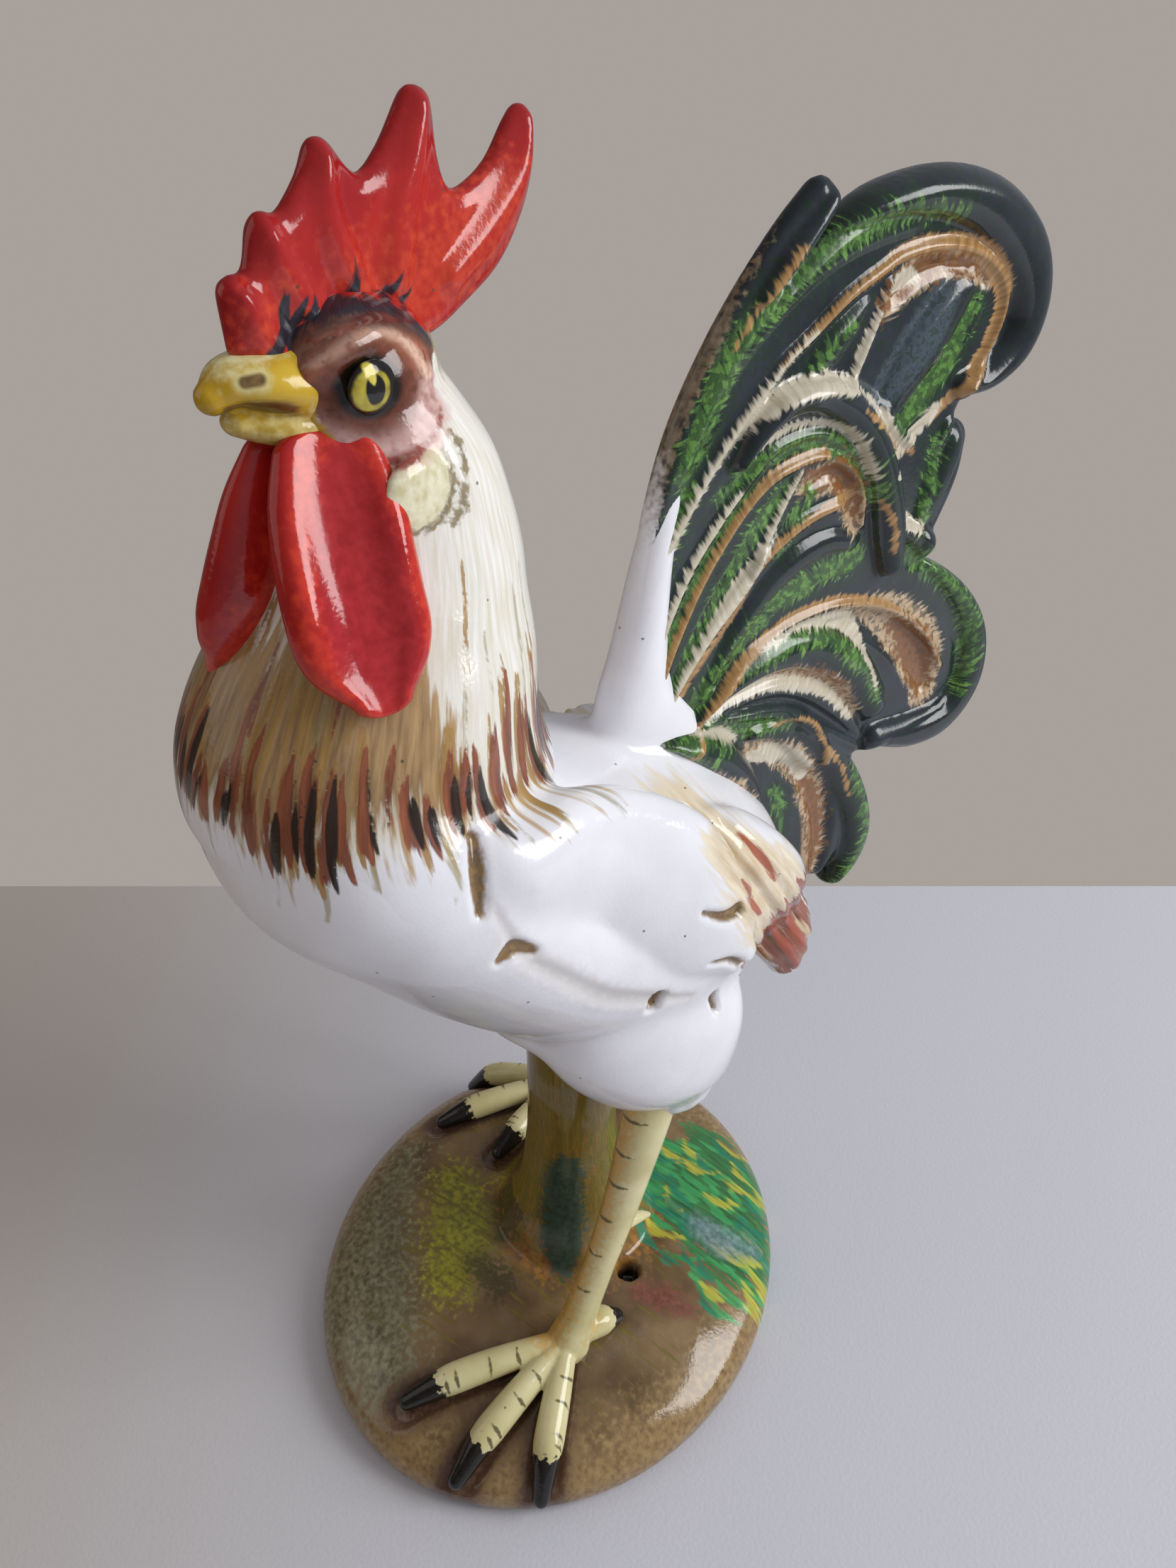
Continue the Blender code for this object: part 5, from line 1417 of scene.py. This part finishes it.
# %% The eyes' paint
PUPIL = ((-0.4, 0.7, 1.7), (-0.35, -0.1, 1.9), (-0.4, -0.7, 1.65))
GLINT = ((-1.0, 3.2, 1.0), (-0.8, 2.0, 0.75), (-0.6, 0.9, 0.1))
IRIS_AT, IRIS_HALF = (-0.9, 0.0), 3.15
eye_paint = painted("iron_yellow_glaze_eye", ("#100D0B", "#1A1512"), (
    ("iris", "#8A7E26", "#B4A63E", 0.25, "s", 0.1, 1.0),
    ("pupil", "#0E0C0A", "#16120F", 0.2, "s", 0.1, 1.0),
    ("glint", "#B8A83A", "#D6C85A", 0.2, "s", 0.1, 1.0),
), wobble=0.05, smooth=0.05)
for piece in (eye_left, eye_right):
    places = from_head(points_of(piece))[:, 1:] - EYE_AT
    from_iris = np.linalg.norm((places - IRIS_AT) / (1.12, 1.0), axis=1)
    lay(piece, iris=IRIS_HALF - from_iris, pupil=inside(places, PUPIL)[0], glint=inside(places, GLINT)[0])
    keep(piece, "strand", places[:, 0])
    keep(piece, "along", places[:, 1])
    glaze(piece, eye_paint)
print("eyes painted")

# %% [markdown]
# ## Painting the tail
# Blue-black cobalt and manganese cover the rolls. Copper green is dabbed along the valleys with a
# dry brush, across the feathers like barbs. Ridges keep thin cream or gold, and the hollows are
# stained brown. Both sides are the same, so everything is laid out in the fan's own plane.

# %% The tail's lines of paint
tail_plane = points_of(tail)[:, 1:]
TAIL_PAINT = {
    "green": (
        ((36, 256, 2), (40, 264, 3.2), (47, 278, 3.2), (59, 289, 2.8), (72, 296, 2.6), (84, 300, 2.4), (96, 301, 2),
         (108, 299.5, 1.2)), ((24, 206, 1.6), (27, 216, 2), (30, 228, 1.4)),
        ((31, 236, 2), (35, 246, 2.8), (38, 253, 1.6)),
        ((29, 208, 1), (34, 219, 1.4), (42, 232, 1.6), (50, 242, 1.6), (57, 249, 1.2)),
        ((33, 203, 1.2), (40, 214, 1.6), (49, 227, 2), (58, 239, 2.2), (66, 247, 1.4)),
        ((47, 249, 1.2), (55, 254, 1.8), (63, 256, 2.2), (72, 256.5, 2.6), (82, 253, 2.8), (89, 247, 2.8),
         (94, 239, 1.8)),
        ((38, 196, 1.6), (47, 205, 2.2), (57, 213, 2.6), (69, 219, 2.8), (81, 222, 2.8), (93, 223, 2.6)),
        ((108, 222, 1.6), (114, 218, 2.6), (122, 212, 2.8), (134, 202, 2.6), (141, 191, 2.6), (144, 179, 2.2),
         (142, 169, 1.4)), ((28, 193, 1.8), (40, 193, 2.6), (52, 189, 2.6), (64, 185, 2.6), (74, 182, 1.4)),
        ((25, 195, 2.2), (33, 192, 2.6), (41, 187, 1.4)),
        ((56, 204, 1.4), (68, 207, 2.2), (80, 206, 2.4), (91, 199, 2.4), (100, 189, 2.4), (105, 180, 1.6)),
        ((101, 158, 1.2), (107, 145, 2.2), (111, 132, 2.6), (109, 121, 2.4), (103, 113, 2), (97, 112, 1.2)),
        ((74, 160, 1.4), (77, 150, 1.8), (78, 141, 1.2)),
        ((113, 226, 1.4), (115, 235, 2), (116, 243, 2), (115, 249, 1.2)),
        ((66, 232, 1.2), (71, 239, 2.2), (74, 244, 1.6)), ((70, 272, 1), (75, 277, 1.6), (80, 280, 1)),
        ((98, 252, 1.8), (106, 259, 3), (114, 268, 3.4), (120, 278, 2.6)),
    ),
    "slate": (((90, 262, 2), (97, 268, 4.4), (104, 276, 5), (109, 283, 3.4)),),
    "cream": (
        ((22, 211, 1), (26, 224, 1.4), (31, 236, 1.5), (37, 247, 1.5), (46, 259, 1.6), (55, 268, 1.8), (61, 274, 1.2),
         (69, 280, 0.8)), ((26, 207, 0.8), (31, 220, 1), (38, 233, 1.1), (46, 243, 1.1), (52, 249, 0.7)),
        ((52, 255, 0.7), (60, 259.5, 0.9), (69, 261, 0.9), (79, 259, 0.9), (86, 254, 0.9), (92, 245, 0.8)),
        ((84, 266, 0.8), (92, 259, 1), (99, 249, 1), (104, 238, 0.9)),
        ((24, 214, 2.4), (27, 226, 2.2), (29, 234, 1.2)),
        ((31, 199, 0.8), (38, 209, 1.2), (46, 218, 2), (54, 226, 2.6), (60, 233, 1.6), (66, 244, 1), (70, 250, 0.7)),
        ((55, 266, 1), (62, 269.5, 1.6), (72, 270, 2), (80, 268, 1.8), (83, 269, 1.2), (85, 274, 1.4), (88, 281, 1)),
        ((88, 263, 0.9), (97, 255, 1), (102, 250, 0.9)), ((99, 244, 1), (105, 250, 1.8), (113, 256, 1.6)),
        ((92, 286, 1.6), (96, 287.5, 2.2), (100, 287, 1.2)),
        ((44, 195, 0.8), (54, 197, 1.4), (66, 196.5, 1.8), (78, 192, 2), (88, 186, 1.8), (97, 176, 1.4)),
        ((62, 208, 0.6), (74, 210, 1.2), (86, 208, 2.2), (94, 204, 2.8), (99, 196, 1.6), (104, 184, 1)),
        ((62, 176, 1.6), (70, 174, 3), (79, 168, 2.8), (85, 160, 1.6)), ((54, 165, 1), (59, 157, 1.4), (61, 150, 1)),
        ((36, 196, 0.5), (44, 192, 0.7), (50, 189, 1.4), (56, 184, 0.8)),
        ((104, 232, 1), (108, 229, 2), (114, 226, 1)),
    ),
    "gold": (
        ((61, 275, 0.8), (69, 280, 1.1), (78, 286, 1.2), (87, 290, 1.6), (94, 293, 1.8), (106, 293.5, 2),
         (119, 290.5, 2.4), (127, 284, 2.4), (130, 277, 2), (127, 268, 1.8), (120, 260, 1.6), (112, 254, 1.2)),
        ((27, 201, 0.8), (33, 214, 1.2), (40, 227, 1.2), (47, 237, 1.3), (54, 245, 1.4), (61, 250.5, 1.4),
         (69, 253, 1.4), (77, 253, 1.2)),
        ((31, 197, 0.8), (38, 205, 0.9), (46, 213, 0.9), (54, 221, 0.9), (62, 232, 1.4), (70, 236, 1.4),
         (80, 239, 1.6), (88, 240, 1.4)),
        ((36, 190, 0.7), (49, 201, 1.1), (57, 207, 1.3), (68, 211.5, 1.3), (78, 213, 1.3), (89, 212.5, 1.3),
         (103, 208, 1), (112, 203, 0.6)),
        ((68, 184, 0.5), (76, 183, 0.8), (83, 179, 0.8), (88, 170, 0.9), (90, 163, 0.6)),
        ((84, 262, 0.6), (92, 257, 1), (100, 250, 1.3), (107, 247, 1)),
        ((95, 238, 0.6), (99, 232, 0.9), (101, 224, 0.7)), ((88, 170, 1), (96, 160, 0.8), (101, 148, 0.5)),
        ((47, 280, 0.4), (56, 291, 0.8), (62, 298, 0.6)), ((44, 286, 0.8), (52, 296, 1.2), (60, 305, 0.7)),
    ),
    "brown": (
        ((89, 281, 1.4), (93, 285, 2.4), (101, 289, 3.2), (112, 289.5, 3), (122, 286, 2)),
        ((74, 248, 1.8), (81, 248, 3), (87, 243, 3.4), (89, 236, 1.8)),
        ((112, 199, 2), (119, 192, 4.6), (125, 183, 5.4), (128, 174, 3.4)),
        ((84, 160, 1.8), (90, 150, 3.2), (93, 138, 3.6), (93, 126, 3), (90, 118, 1.6)),
        ((34, 184, 1), (42, 179, 2.4), (50, 170, 3), (54, 163, 1.6)),
        ((66, 199, 0.6), (76, 197, 1), (86, 192, 1), (94, 184, 0.6)),
    ),
    "tan": (
        ((91, 283, 3), (101, 289, 4.4), (114, 289, 3.6), (125, 284, 2.4)),
        ((72, 245, 2.6), (82, 247, 4.6), (88, 240, 4.4), (90, 232, 2.4)),
        ((80, 209, 1), (92, 208, 3.2), (104, 205, 4.6), (116, 196, 7.2), (126, 184, 7.4), (129, 172, 5)),
        ((62, 178, 3), (74, 172, 4), (84, 160, 4.6), (90, 146, 5.2), (92, 130, 5), (90, 116, 3.4)),
        ((32, 185, 2.4), (44, 178, 4), (54, 167, 4.4), (60, 156, 2.4)),
        ((52, 197, 1), (66, 198, 2), (80, 194, 2.4), (92, 186, 2.2), (99, 176, 1.6)),
    ),
}
ROOT_WHITE = (
    (0, 232), (19, 236), (21, 222), (22, 208), (25, 201), (28, 197.5), (27, 193), (25, 190), (24, 184), (34, 172),
    (50, 156), (40, 140), (0, 140),
)
# Barbs slant along a feather, and each feather's are shifted so that neighbours don't match
BARB_SLANT, BARB_SHIFT = 0.6, 37.0
painted_depth = {name: inside_any(tail_plane, lines) for name, lines in TAIL_PAINT.items()}
lay(tail, verdant=painted_depth["green"] + 2.2, **painted_depth)
# The bare front edge: within a few mm of the rim, thinner towards the tip
y, z = tail_plane.T
to_rim = tail_edge(tail_plane)
front = 4.2 - to_rim - np.clip((z - 224) * 0.13, 0, 20)
front = np.where((normals_of(tail)[:, 1] < -0.2) & (y < 62), front, -FAR)
# A greyish brown within about a mm of the rim near the front, fading out towards the top
lay(tail, (y < 62) & (z < 312), worn=1.1 - to_rim - np.clip((z - 285) * 0.1, 0, 20))
lay(tail, root=np.maximum(inside_outline(tail_plane, ROOT_WHITE), front))
# Which feather a point lies nearest to, and how far along and across it
best = np.full(len(tail_plane), -1e9)
barb, shaft = np.zeros(len(tail_plane)), np.zeros(len(tail_plane))
for number, (rows, _) in enumerate([*ROLLS, *RIDGES]):
    found, share = inside(tail_plane, rows)
    length = np.linalg.norm(np.diff(np.array(rows)[:, :2], axis=0), axis=1).sum()
    closer = found > best
    best[closer] = shaft[closer] = found[closer]
    barb[closer] = share[closer] * length + BARB_SLANT * found[closer] + BARB_SHIFT * number
keep(tail, "strand", barb)
keep(tail, "along", shaft)
tail_glaze = painted("cobalt_and_copper_glaze_tail", ("#1A1F24", "#2C343C"), (
    ("verdant", "#16261A", "#24402A", 1.4, "h", 2.6, 0.85),
    ("slate", "#3A464F", "#5A6670", 1.2, "s", 1.0, 0.9),
    ("tan", "#A6855C", "#CDB798", 0.9, "h", 1.6, 0.95),
    ("green", "#2E5A22", "#72A04C", 0.6, "h", 2.2, 0.92),
    ("green", "#15221A", "#1E3422", 3.0, "s", 34.0, 0.62),
    ("brown", "#5E3516", "#8E5C2C", 1.6, "s", 2.2, 0.92),
    ("gold", "#8E6434", "#BE9864", 0.45, "h", 0.7, 0.95),
    ("cream", "#B9AE92", "#DAD3C2", 0.5, "h", 0.9, 0.95),
    ("worn", "#5E4E3C", "#9A8870", 0.6, "s", 0.8, 0.8),
    ("root", "#DEDCDE", "#E9E9ED", 1.2, "s", 0.5, 1.0),
), wobble=0.3, smooth=0.14)
glaze(tail, tail_glaze)
print(sum(len(lines) for lines in TAIL_PAINT.values()), "lines of paint on the tail")

# %% [markdown]
# ## Painting the ground
# The plinth is a puddle of oxides dabbed on with a sponge: iron browns at the rim, copper greens at
# the back for grass, and streaks of ochre up the stump.

# %% The plinth
plinth_points = points_of(plinth)
x, y, z = plinth_points.T
from_stump = np.hypot(x - STUMP_AT[0], y - STUMP_AT[1])
grass_lines, blade_lines, teal_lines = [], [], []
for _ in range(110):
    root_x, root_y = rng.uniform(-8, 48), rng.uniform(22, 66)
    heading = rng.uniform(-0.5, 0.6)
    reach = rng.uniform(6, 14)
    half = rng.uniform(0.9, 1.7)
    middle = (root_x + math.cos(heading) * reach / 2, root_y + math.sin(heading) * reach / 2, half)
    tip = (root_x + math.cos(heading + 0.3) * reach, root_y + math.sin(heading + 0.3) * reach, 0.3)
    rng.choice((grass_lines, grass_lines, blade_lines, teal_lines)).append([(root_x, root_y, 0.5), middle, tip])
# Patches of the ground: the height each ends at on the stump, and its x, y and half width rows
PATCHES = {
    "speckle": (28, [((-40, -40, 10), (-14, -58, 16), (10, -64, 10)), ((-52, -24, 6), (-36, -44, 10))]),
    "moss": (36, [((-30, -18, 7), (-14, -24, 11), (-2, -34, 8)), ((-22, 0, 7), (-14, 14, 8))]),
    "umber": (34, [((-4, -12, 5), (-12, -8, 5)), ((0, -26, 4), (8, -24, 5))]),
    "grass": (28, [((0, 40, 12), (18, 46, 18), (38, 44, 13)), ((4, 60, 9), (22, 64, 8))]),
    "blades": (28, grass_lines),
    "yellow": (28, blade_lines),
    "sea": (28, teal_lines),
    "pool": (28, [((26, 38, 3), (34, 41, 5), (40, 48, 2.6))]),
    "russet": (28, [((34, 8, 2.4), (40, 14, 4), (46, 18, 2))]),
    # The furrows beside the toes are painted dark: painted shade over some brown
    "furrow": (28, furrow_lines(8, 4.6)),
    # The vent hole is painted near-black: painted shade inside it
    "vent": (28, [((*VENT_AT, VENT_HALF), (VENT_AT[0] + 0.1, VENT_AT[1], VENT_HALF))]),
}
TEAL = ((8, 1, 60, 4), (11, -3, 48, 7), (13, -5, 36, 7.6), (16, -6, 26, 5))
for name, (limit, lines) in PATCHES.items():
    keep(plinth, name, np.where(z < limit, inside_any(plinth_points[:, :2], lines), -FAR))
lay(plinth, rim=(base_share(x, y) - 0.86) * 60, stump=(z - 28) * 0.8, streaks=np.minimum((z - 30) * 0.5, 3.0))
lay(plinth, teal=inside(plinth_points, TEAL)[0])
lay(plinth, z < 44, iron=27 - from_stump - 0.3 * (z - 22))
round_stump = np.arctan2(y - STUMP_AT[1], x - STUMP_AT[0])
keep(plinth, "strand", np.where(z > 27, round_stump * 16, y * 0.9 - x * 0.3))
keep(plinth, "along", np.where(z > 27, z, x))
ground_glaze = painted("iron_and_copper_glaze_ground", ("#5E4A32", "#8A7250"), (
    ("rim", "#806440", "#A88E60", 7.0, "s", 5.0, 0.8),
    ("speckle", "#4C5240", "#908E72", 6.0, "s", 7.0, 0.75),
    ("iron", "#7E5020", "#A87838", 4.0, "s", 5.0, 0.85),
    ("moss", "#5E6418", "#A8A42E", 5.0, "s", 5.0, 0.85),
    ("stump", "#7E5E22", "#A8823A", 4.0, "h", 6.0, 0.9),
    ("streaks", "#3E4420", "#6A6424", 1.5, "h", 8.0, 0.7),
    ("umber", "#2E2C1C", "#4A4428", 3.0, "s", 4.0, 0.85),
    ("teal", "#22382E", "#34504A", 1.6, "s", 1.5, 0.92),
    # Painted shade over some brown in the furrows beside the toes
    ("furrow", "#3E281E", "#64463A", 2.4, "s", 2.5, 0.88),
    ("russet", "#6A3A30", "#8A564A", 2.0, "s", 2.0, 0.85),
    ("grass", "#1E5A34", "#3E8A4E", 1.2, "h", 5.0, 0.92),
    ("blades", "#2E8A4E", "#4EA862", 0.4, "h", 0.8, 0.9),
    ("yellow", "#A8A02E", "#C9C44A", 0.7, "h", 1.2, 0.8),
    ("sea", "#1E6A50", "#2E8A6A", 0.5, "h", 0.8, 0.85),
    ("pool", "#4E6A6C", "#8EA2A6", 3.0, "s", 0.8, 0.8),
    # Painted shade inside the vent hole
    ("vent", "#14100C", "#1C1612", 0.4, "s", 0.2, 1.0),
), wobble=0.7)
glaze(plinth, ground_glaze)
print(len(PATCHES), "kinds of patch on the ground")

# %% [markdown]
# ## Painting the legs
# Pale straw glaze with ochre on the side turned from the window, partly the legs' own ochre and partly painted shade,
# short olive dashes for the scales and black claws.

# %% The legs' paint
straw = painted("straw_glaze_leg", ("#C6BC86", "#DDD6A8"), (
    # Ochre on the side turned from the window, partly painted shade
    ("shade", "#B5822C", "#D0A44C", 2.6, "s", 1.6, 0.85),
    ("dash", "#3E3A1E", "#5E5630", 0.22, "s", 0.25, 0.9),
    ("claw", "#0E0C0A", "#1E1A17", 0.35, "s", 1.3, 1.0),
))
DASH_HEIGHTS = (97, 86, 76, 65, 54, 43, 34)
# A claw starts at a share of its toe's length, nearer the tip on a short toe
LONG_TOE, LONG_NAIL, SHORT_NAIL = 25, 0.74, 0.8
CLAW_HALF, CLAW_REACH = 6.0, 16


def shank_dashes(shank, side):
    """Dashes across the front of a shank, and again behind it."""
    dashes = []
    for height in DASH_HEIGHTS:
        x, y, half = (np.interp(-height, -shank[:, 2], shank[:, k]) for k in (0, 1, 3))
        facing = rng.uniform(-12, 12)
        rows = []
        for degrees, wide in ((-125, 0.15), (-100, 0.55), (-75, 0.5), (-50, 0.15)):
            turn = math.radians(facing + degrees)
            out, back = math.cos(turn), math.sin(turn)
            rows.append((x + side * half * out, y + half * back, height + 1.2 * out, wide))
        dashes += [rows, [(2 * x - px, 2 * y - py, pz + 4, wide) for px, py, pz, wide in rows]]
    return dashes


def toe_dashes(toe, heading, side):
    """Dashes that run from the top of a toe down its outer side."""
    across, ahead = np.array((-heading[1] * side, heading[0] * side, 0)), np.array((*heading, 0))
    dashes = []
    for share in (0.3, 0.45, 0.6, 0.7):
        *middle, half = toe[int(share * (len(toe) - 1))][:4]
        start, end = middle + Z * half, middle + across * half + Z * half * 0.2
        bend = middle + (across + Z) * half * 0.74
        dashes.append([(*start, 0.2), (*bend, 0.5), (*(end + ahead * rng.uniform(-0.8, 0.8)), 0.25)])
    return dashes


for piece, side in ((leg_left, LEFT), (leg_right, RIGHT)):
    places = points_of(piece)
    shank = leg_lines[side]["shank"]
    dashes = shank_dashes(through(shank, 6), side)
    # Ochre down the side of the shank turned from the window and round the foot, partly painted shade
    shades = [[(x - side * 0.574 * half, y - 0.819 * half, z, half * 0.95) for x, y, z, half, _ in shank]]
    shades.append([(*shank[-1][:3], 4.0), (*shank[-2][:2], shank[-2][2] - 4, 4.4)])
    claw = np.full(len(places), -FAR)
    for rows in leg_lines[side]["toes"]:
        toe = through(rows, 6)
        length = np.linalg.norm(toe[-1, :2] - toe[0, :2])
        if length > LONG_TOE:
            dashes += toe_dashes(toe, unit(toe[-1, :2] - toe[0, :2]), side)
        nail = toe[int((LONG_NAIL if length > LONG_TOE else SHORT_NAIL) * (len(toe) - 1)), :3]
        ahead = unit(toe[-1, :3] - nail)
        reach = (places - nail) @ ahead
        off = np.linalg.norm(places - nail - reach[:, None] * ahead, axis=1)
        near = (reach < CLAW_REACH) & (off < CLAW_HALF)
        claw = np.maximum(claw, np.where(near, np.minimum(reach, CLAW_HALF - off), -FAR))
    lay(piece, claw=claw, dash=inside_any(places, dashes), shade=inside_any(places, shades))
    keep(piece, "strand", places[:, 2])
    keep(piece, "along", places[:, 0])
    glaze(piece, straw)
print("legs painted")

# %% [markdown]
# ## Riding on the frame
# Each piece rides on the imported body and stands for the CAD nodes that it covers. The table also
# gives each a glaze slot name, which nothing here reads.


# %% What each piece stands for
def both(*words):
    return [f"{word}_{side}" for word in words for side in ("left", "right")]


def leg_nodes(side):
    return [f"shank_{side}", f"spur_{side}"] + [f"toe_{side}_{toe}" for toe in ("inner", "middle", "outer", "hind")]


FIGURE_NODES = ["body_shell", "neck_hackle", "head", *both("thigh", "wing", "saddle", "ear_lobe")]
TAIL_NODES = ["tail_core", "feather_lead", "sickle_upper", "sickle_lower", "lobe_low", "lobe_rear"]
TAIL_NODES += both("scroll_middle", "feather_inner", "scroll_lower", "covert")
STANDS_FOR = (
    (figure, "white_glaze", FIGURE_NODES),
    (comb, "red_glaze", ["comb"]),
    (beak, "ochre_glaze", ["beak_upper", "beak_lower"]),
    (wattle_left, "red_glaze", ["wattle_left"]),
    (wattle_right, "red_glaze", ["wattle_right"]),
    (eye_left, "ochre_glaze", ["eye_left"]),
    (eye_right, "ochre_glaze", ["eye_right"]),
    (tail, "blue_black_glaze", TAIL_NODES),
    (plinth, "earth_glaze", ["base_mound", "stump"]),
    (leg_left, "straw_glaze", leg_nodes("left")),
    (leg_right, "straw_glaze", leg_nodes("right")),
)
hidden = 0
for piece, slot_name, nodes in STANDS_FOR:
    # A piece that has a node's name gets one of its own
    if piece.name in nodes or "." in piece.name:
        piece.name = f"{piece.name.split('.')[0]}_glazed"
    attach(piece, "root")
    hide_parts(*nodes)
    hidden += len(nodes)
print(hidden, "nodes stood for by", len(STANDS_FOR), "pieces")

# %% [markdown]
# ## Floor, lamps and camera
# The bird stands on a pale shelf before a taupe wall. The shelf's far edge is where the wall
# starts in the picture. Large soft lamps stand in for a window on the bird's left and behind.


# %% The shelf
VIEW_TURN = math.radians(55)
SHELF_BACK, SHELF_FRONT, SHELF_SIDE, SHELF_THICK = 184.0, 700.0, 700.0, 24.0
away = np.array((-math.sin(VIEW_TURN), math.cos(VIEW_TURN), 0))
aside = np.array((math.cos(VIEW_TURN), math.sin(VIEW_TURN), 0))
corners = [away * SHELF_BACK - aside * SHELF_SIDE, away * SHELF_BACK + aside * SHELF_SIDE]
corners += [-away * SHELF_FRONT + aside * SHELF_SIDE, -away * SHELF_FRONT - aside * SHELF_SIDE]
shelf_points = [c - Z * SHELF_THICK for c in corners] + corners
shelf_faces = [(3, 2, 1, 0), (4, 5, 6, 7)] + [(i, (i + 1) % 4, (i + 1) % 4 + 4, i + 4) for i in range(4)]
shelf = new_piece("shelf", shelf_points, shelf_faces)
shelf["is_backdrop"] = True


def across_view(tree, where, low, high, dim, bright):
    """A colour that turns from dim to bright from one side of the view to the other."""
    share = add(tree, "VectorMath", {0: where, 1: tuple(aside)}, operation="DOT_PRODUCT").outputs["Value"]
    ends = {"Value": share, "From Min": low, "From Max": high}
    share = add(tree, "MapRange", ends, interpolation_type="SMOOTHSTEP")
    return add(tree, "Mix", {0: share, 6: linear(dim), 7: linear(bright)}, data_type="RGBA").outputs[2]


paint = bpy.data.materials.new("matt_shelf_paint")
tree = bare_tree(paint)
spot = add(tree, "TexCoord").outputs["Object"]
# Painted light and shade: the shelf's colour turns from dim and warm on the room's far side to bright and cool on the
# window's side
tone = across_view(tree, spot, -0.24, 0.02, "#BBB3AA", "#CBCCD4")
roller = add(tree, "TexNoise", {"Vector": spot, "Scale": 900.0, "Detail": 2.0})
uneven = add(tree, "MapRange", {"Value": roller, "To Min": 0.96, "To Max": 1.04})
tone = add(tree, "HueSaturation", {"Color": tone, "Value": uneven})
stipple = add(tree, "Bump", {"Height": roller, "Distance": 0.08 * MM})
matt = add(tree, "BsdfPrincipled", {"Base Color": tone, "Roughness": 0.62, "Normal": stipple})
add(tree, "OutputMaterial", {"Surface": matt})
shelf.data.materials.append(paint)
print("shelf", SHELF_BACK + SHELF_FRONT, "mm deep")

# %% The room's light
world = bpy.data.worlds.new("room")
bpy.context.scene.world = world
tree = bare_tree(world)
path = add(tree, "LightPath")
# Seen in the glaze the room is dim, apart from its window
seen = add(tree, "MapRange", {"Value": path.outputs["Is Glossy Ray"], "To Min": 0.66, "To Max": 0.33})
# One side of the room is dim and warm, the window's side bright and cool
facing = add(tree, "TexCoord").outputs["Generated"]
walls = across_view(tree, facing, -0.9, 0.6, "#94847A", "#ECEEF6")
room = add(tree, "Background", {"Color": walls, "Strength": seen})
wall = add(tree, "Background", {"Color": linear("#A8A19B"), "Strength": 1.0})
mixed = add(tree, "MixShader", {0: path.outputs["Is Camera Ray"], 1: room, 2: wall})
add(tree, "OutputWorld", {"Surface": mixed})


MIDDLE = (0, 0.02, 0.16)


def lamp(name, place, size, power, hue):
    """A soft rectangular lamp aimed at the bird's middle, all in metres."""
    data = bpy.data.lights.new(name, "AREA")
    data.shape = "RECTANGLE"
    data.size, data.size_y = size
    data.energy = power
    data.color = linear(hue)[:3]
    lamp_object = bpy.data.objects.new(name, data)
    bpy.context.collection.objects.link(lamp_object)
    lamp_object.location = place
    lamp_object.rotation_euler = (Vector(MIDDLE) - Vector(place)).to_track_quat("-Z", "Y").to_euler()


lamp("window", (0.75, 0.75, 0.75), (0.6, 0.8), 10.5, "#FFFFFF")
lamp("fill", (-0.5, -0.9, 0.7), (0.9, 0.9), 1.4, "#F6F3EE")
print(len(bpy.data.lights), "lamps")

# %% The camera
camera_data = bpy.data.cameras.new("camera")
camera = bpy.data.objects.new("camera", camera_data)
bpy.context.collection.objects.link(camera)
camera.location = (0.18501, -0.11541, 0.34871)
camera.rotation_euler = (math.radians(54), 0, VIEW_TURN)
camera_data.lens = 27.05
camera_data.sensor_width = 36
camera_data.clip_start = 0.01
bpy.context.scene.camera = camera
bpy.context.scene.view_settings.view_transform = "Standard"

# %% Sizes
low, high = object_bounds()
print("visual box", [round((b - a) / MM, 1) for a, b in zip(low, high)], "mm")
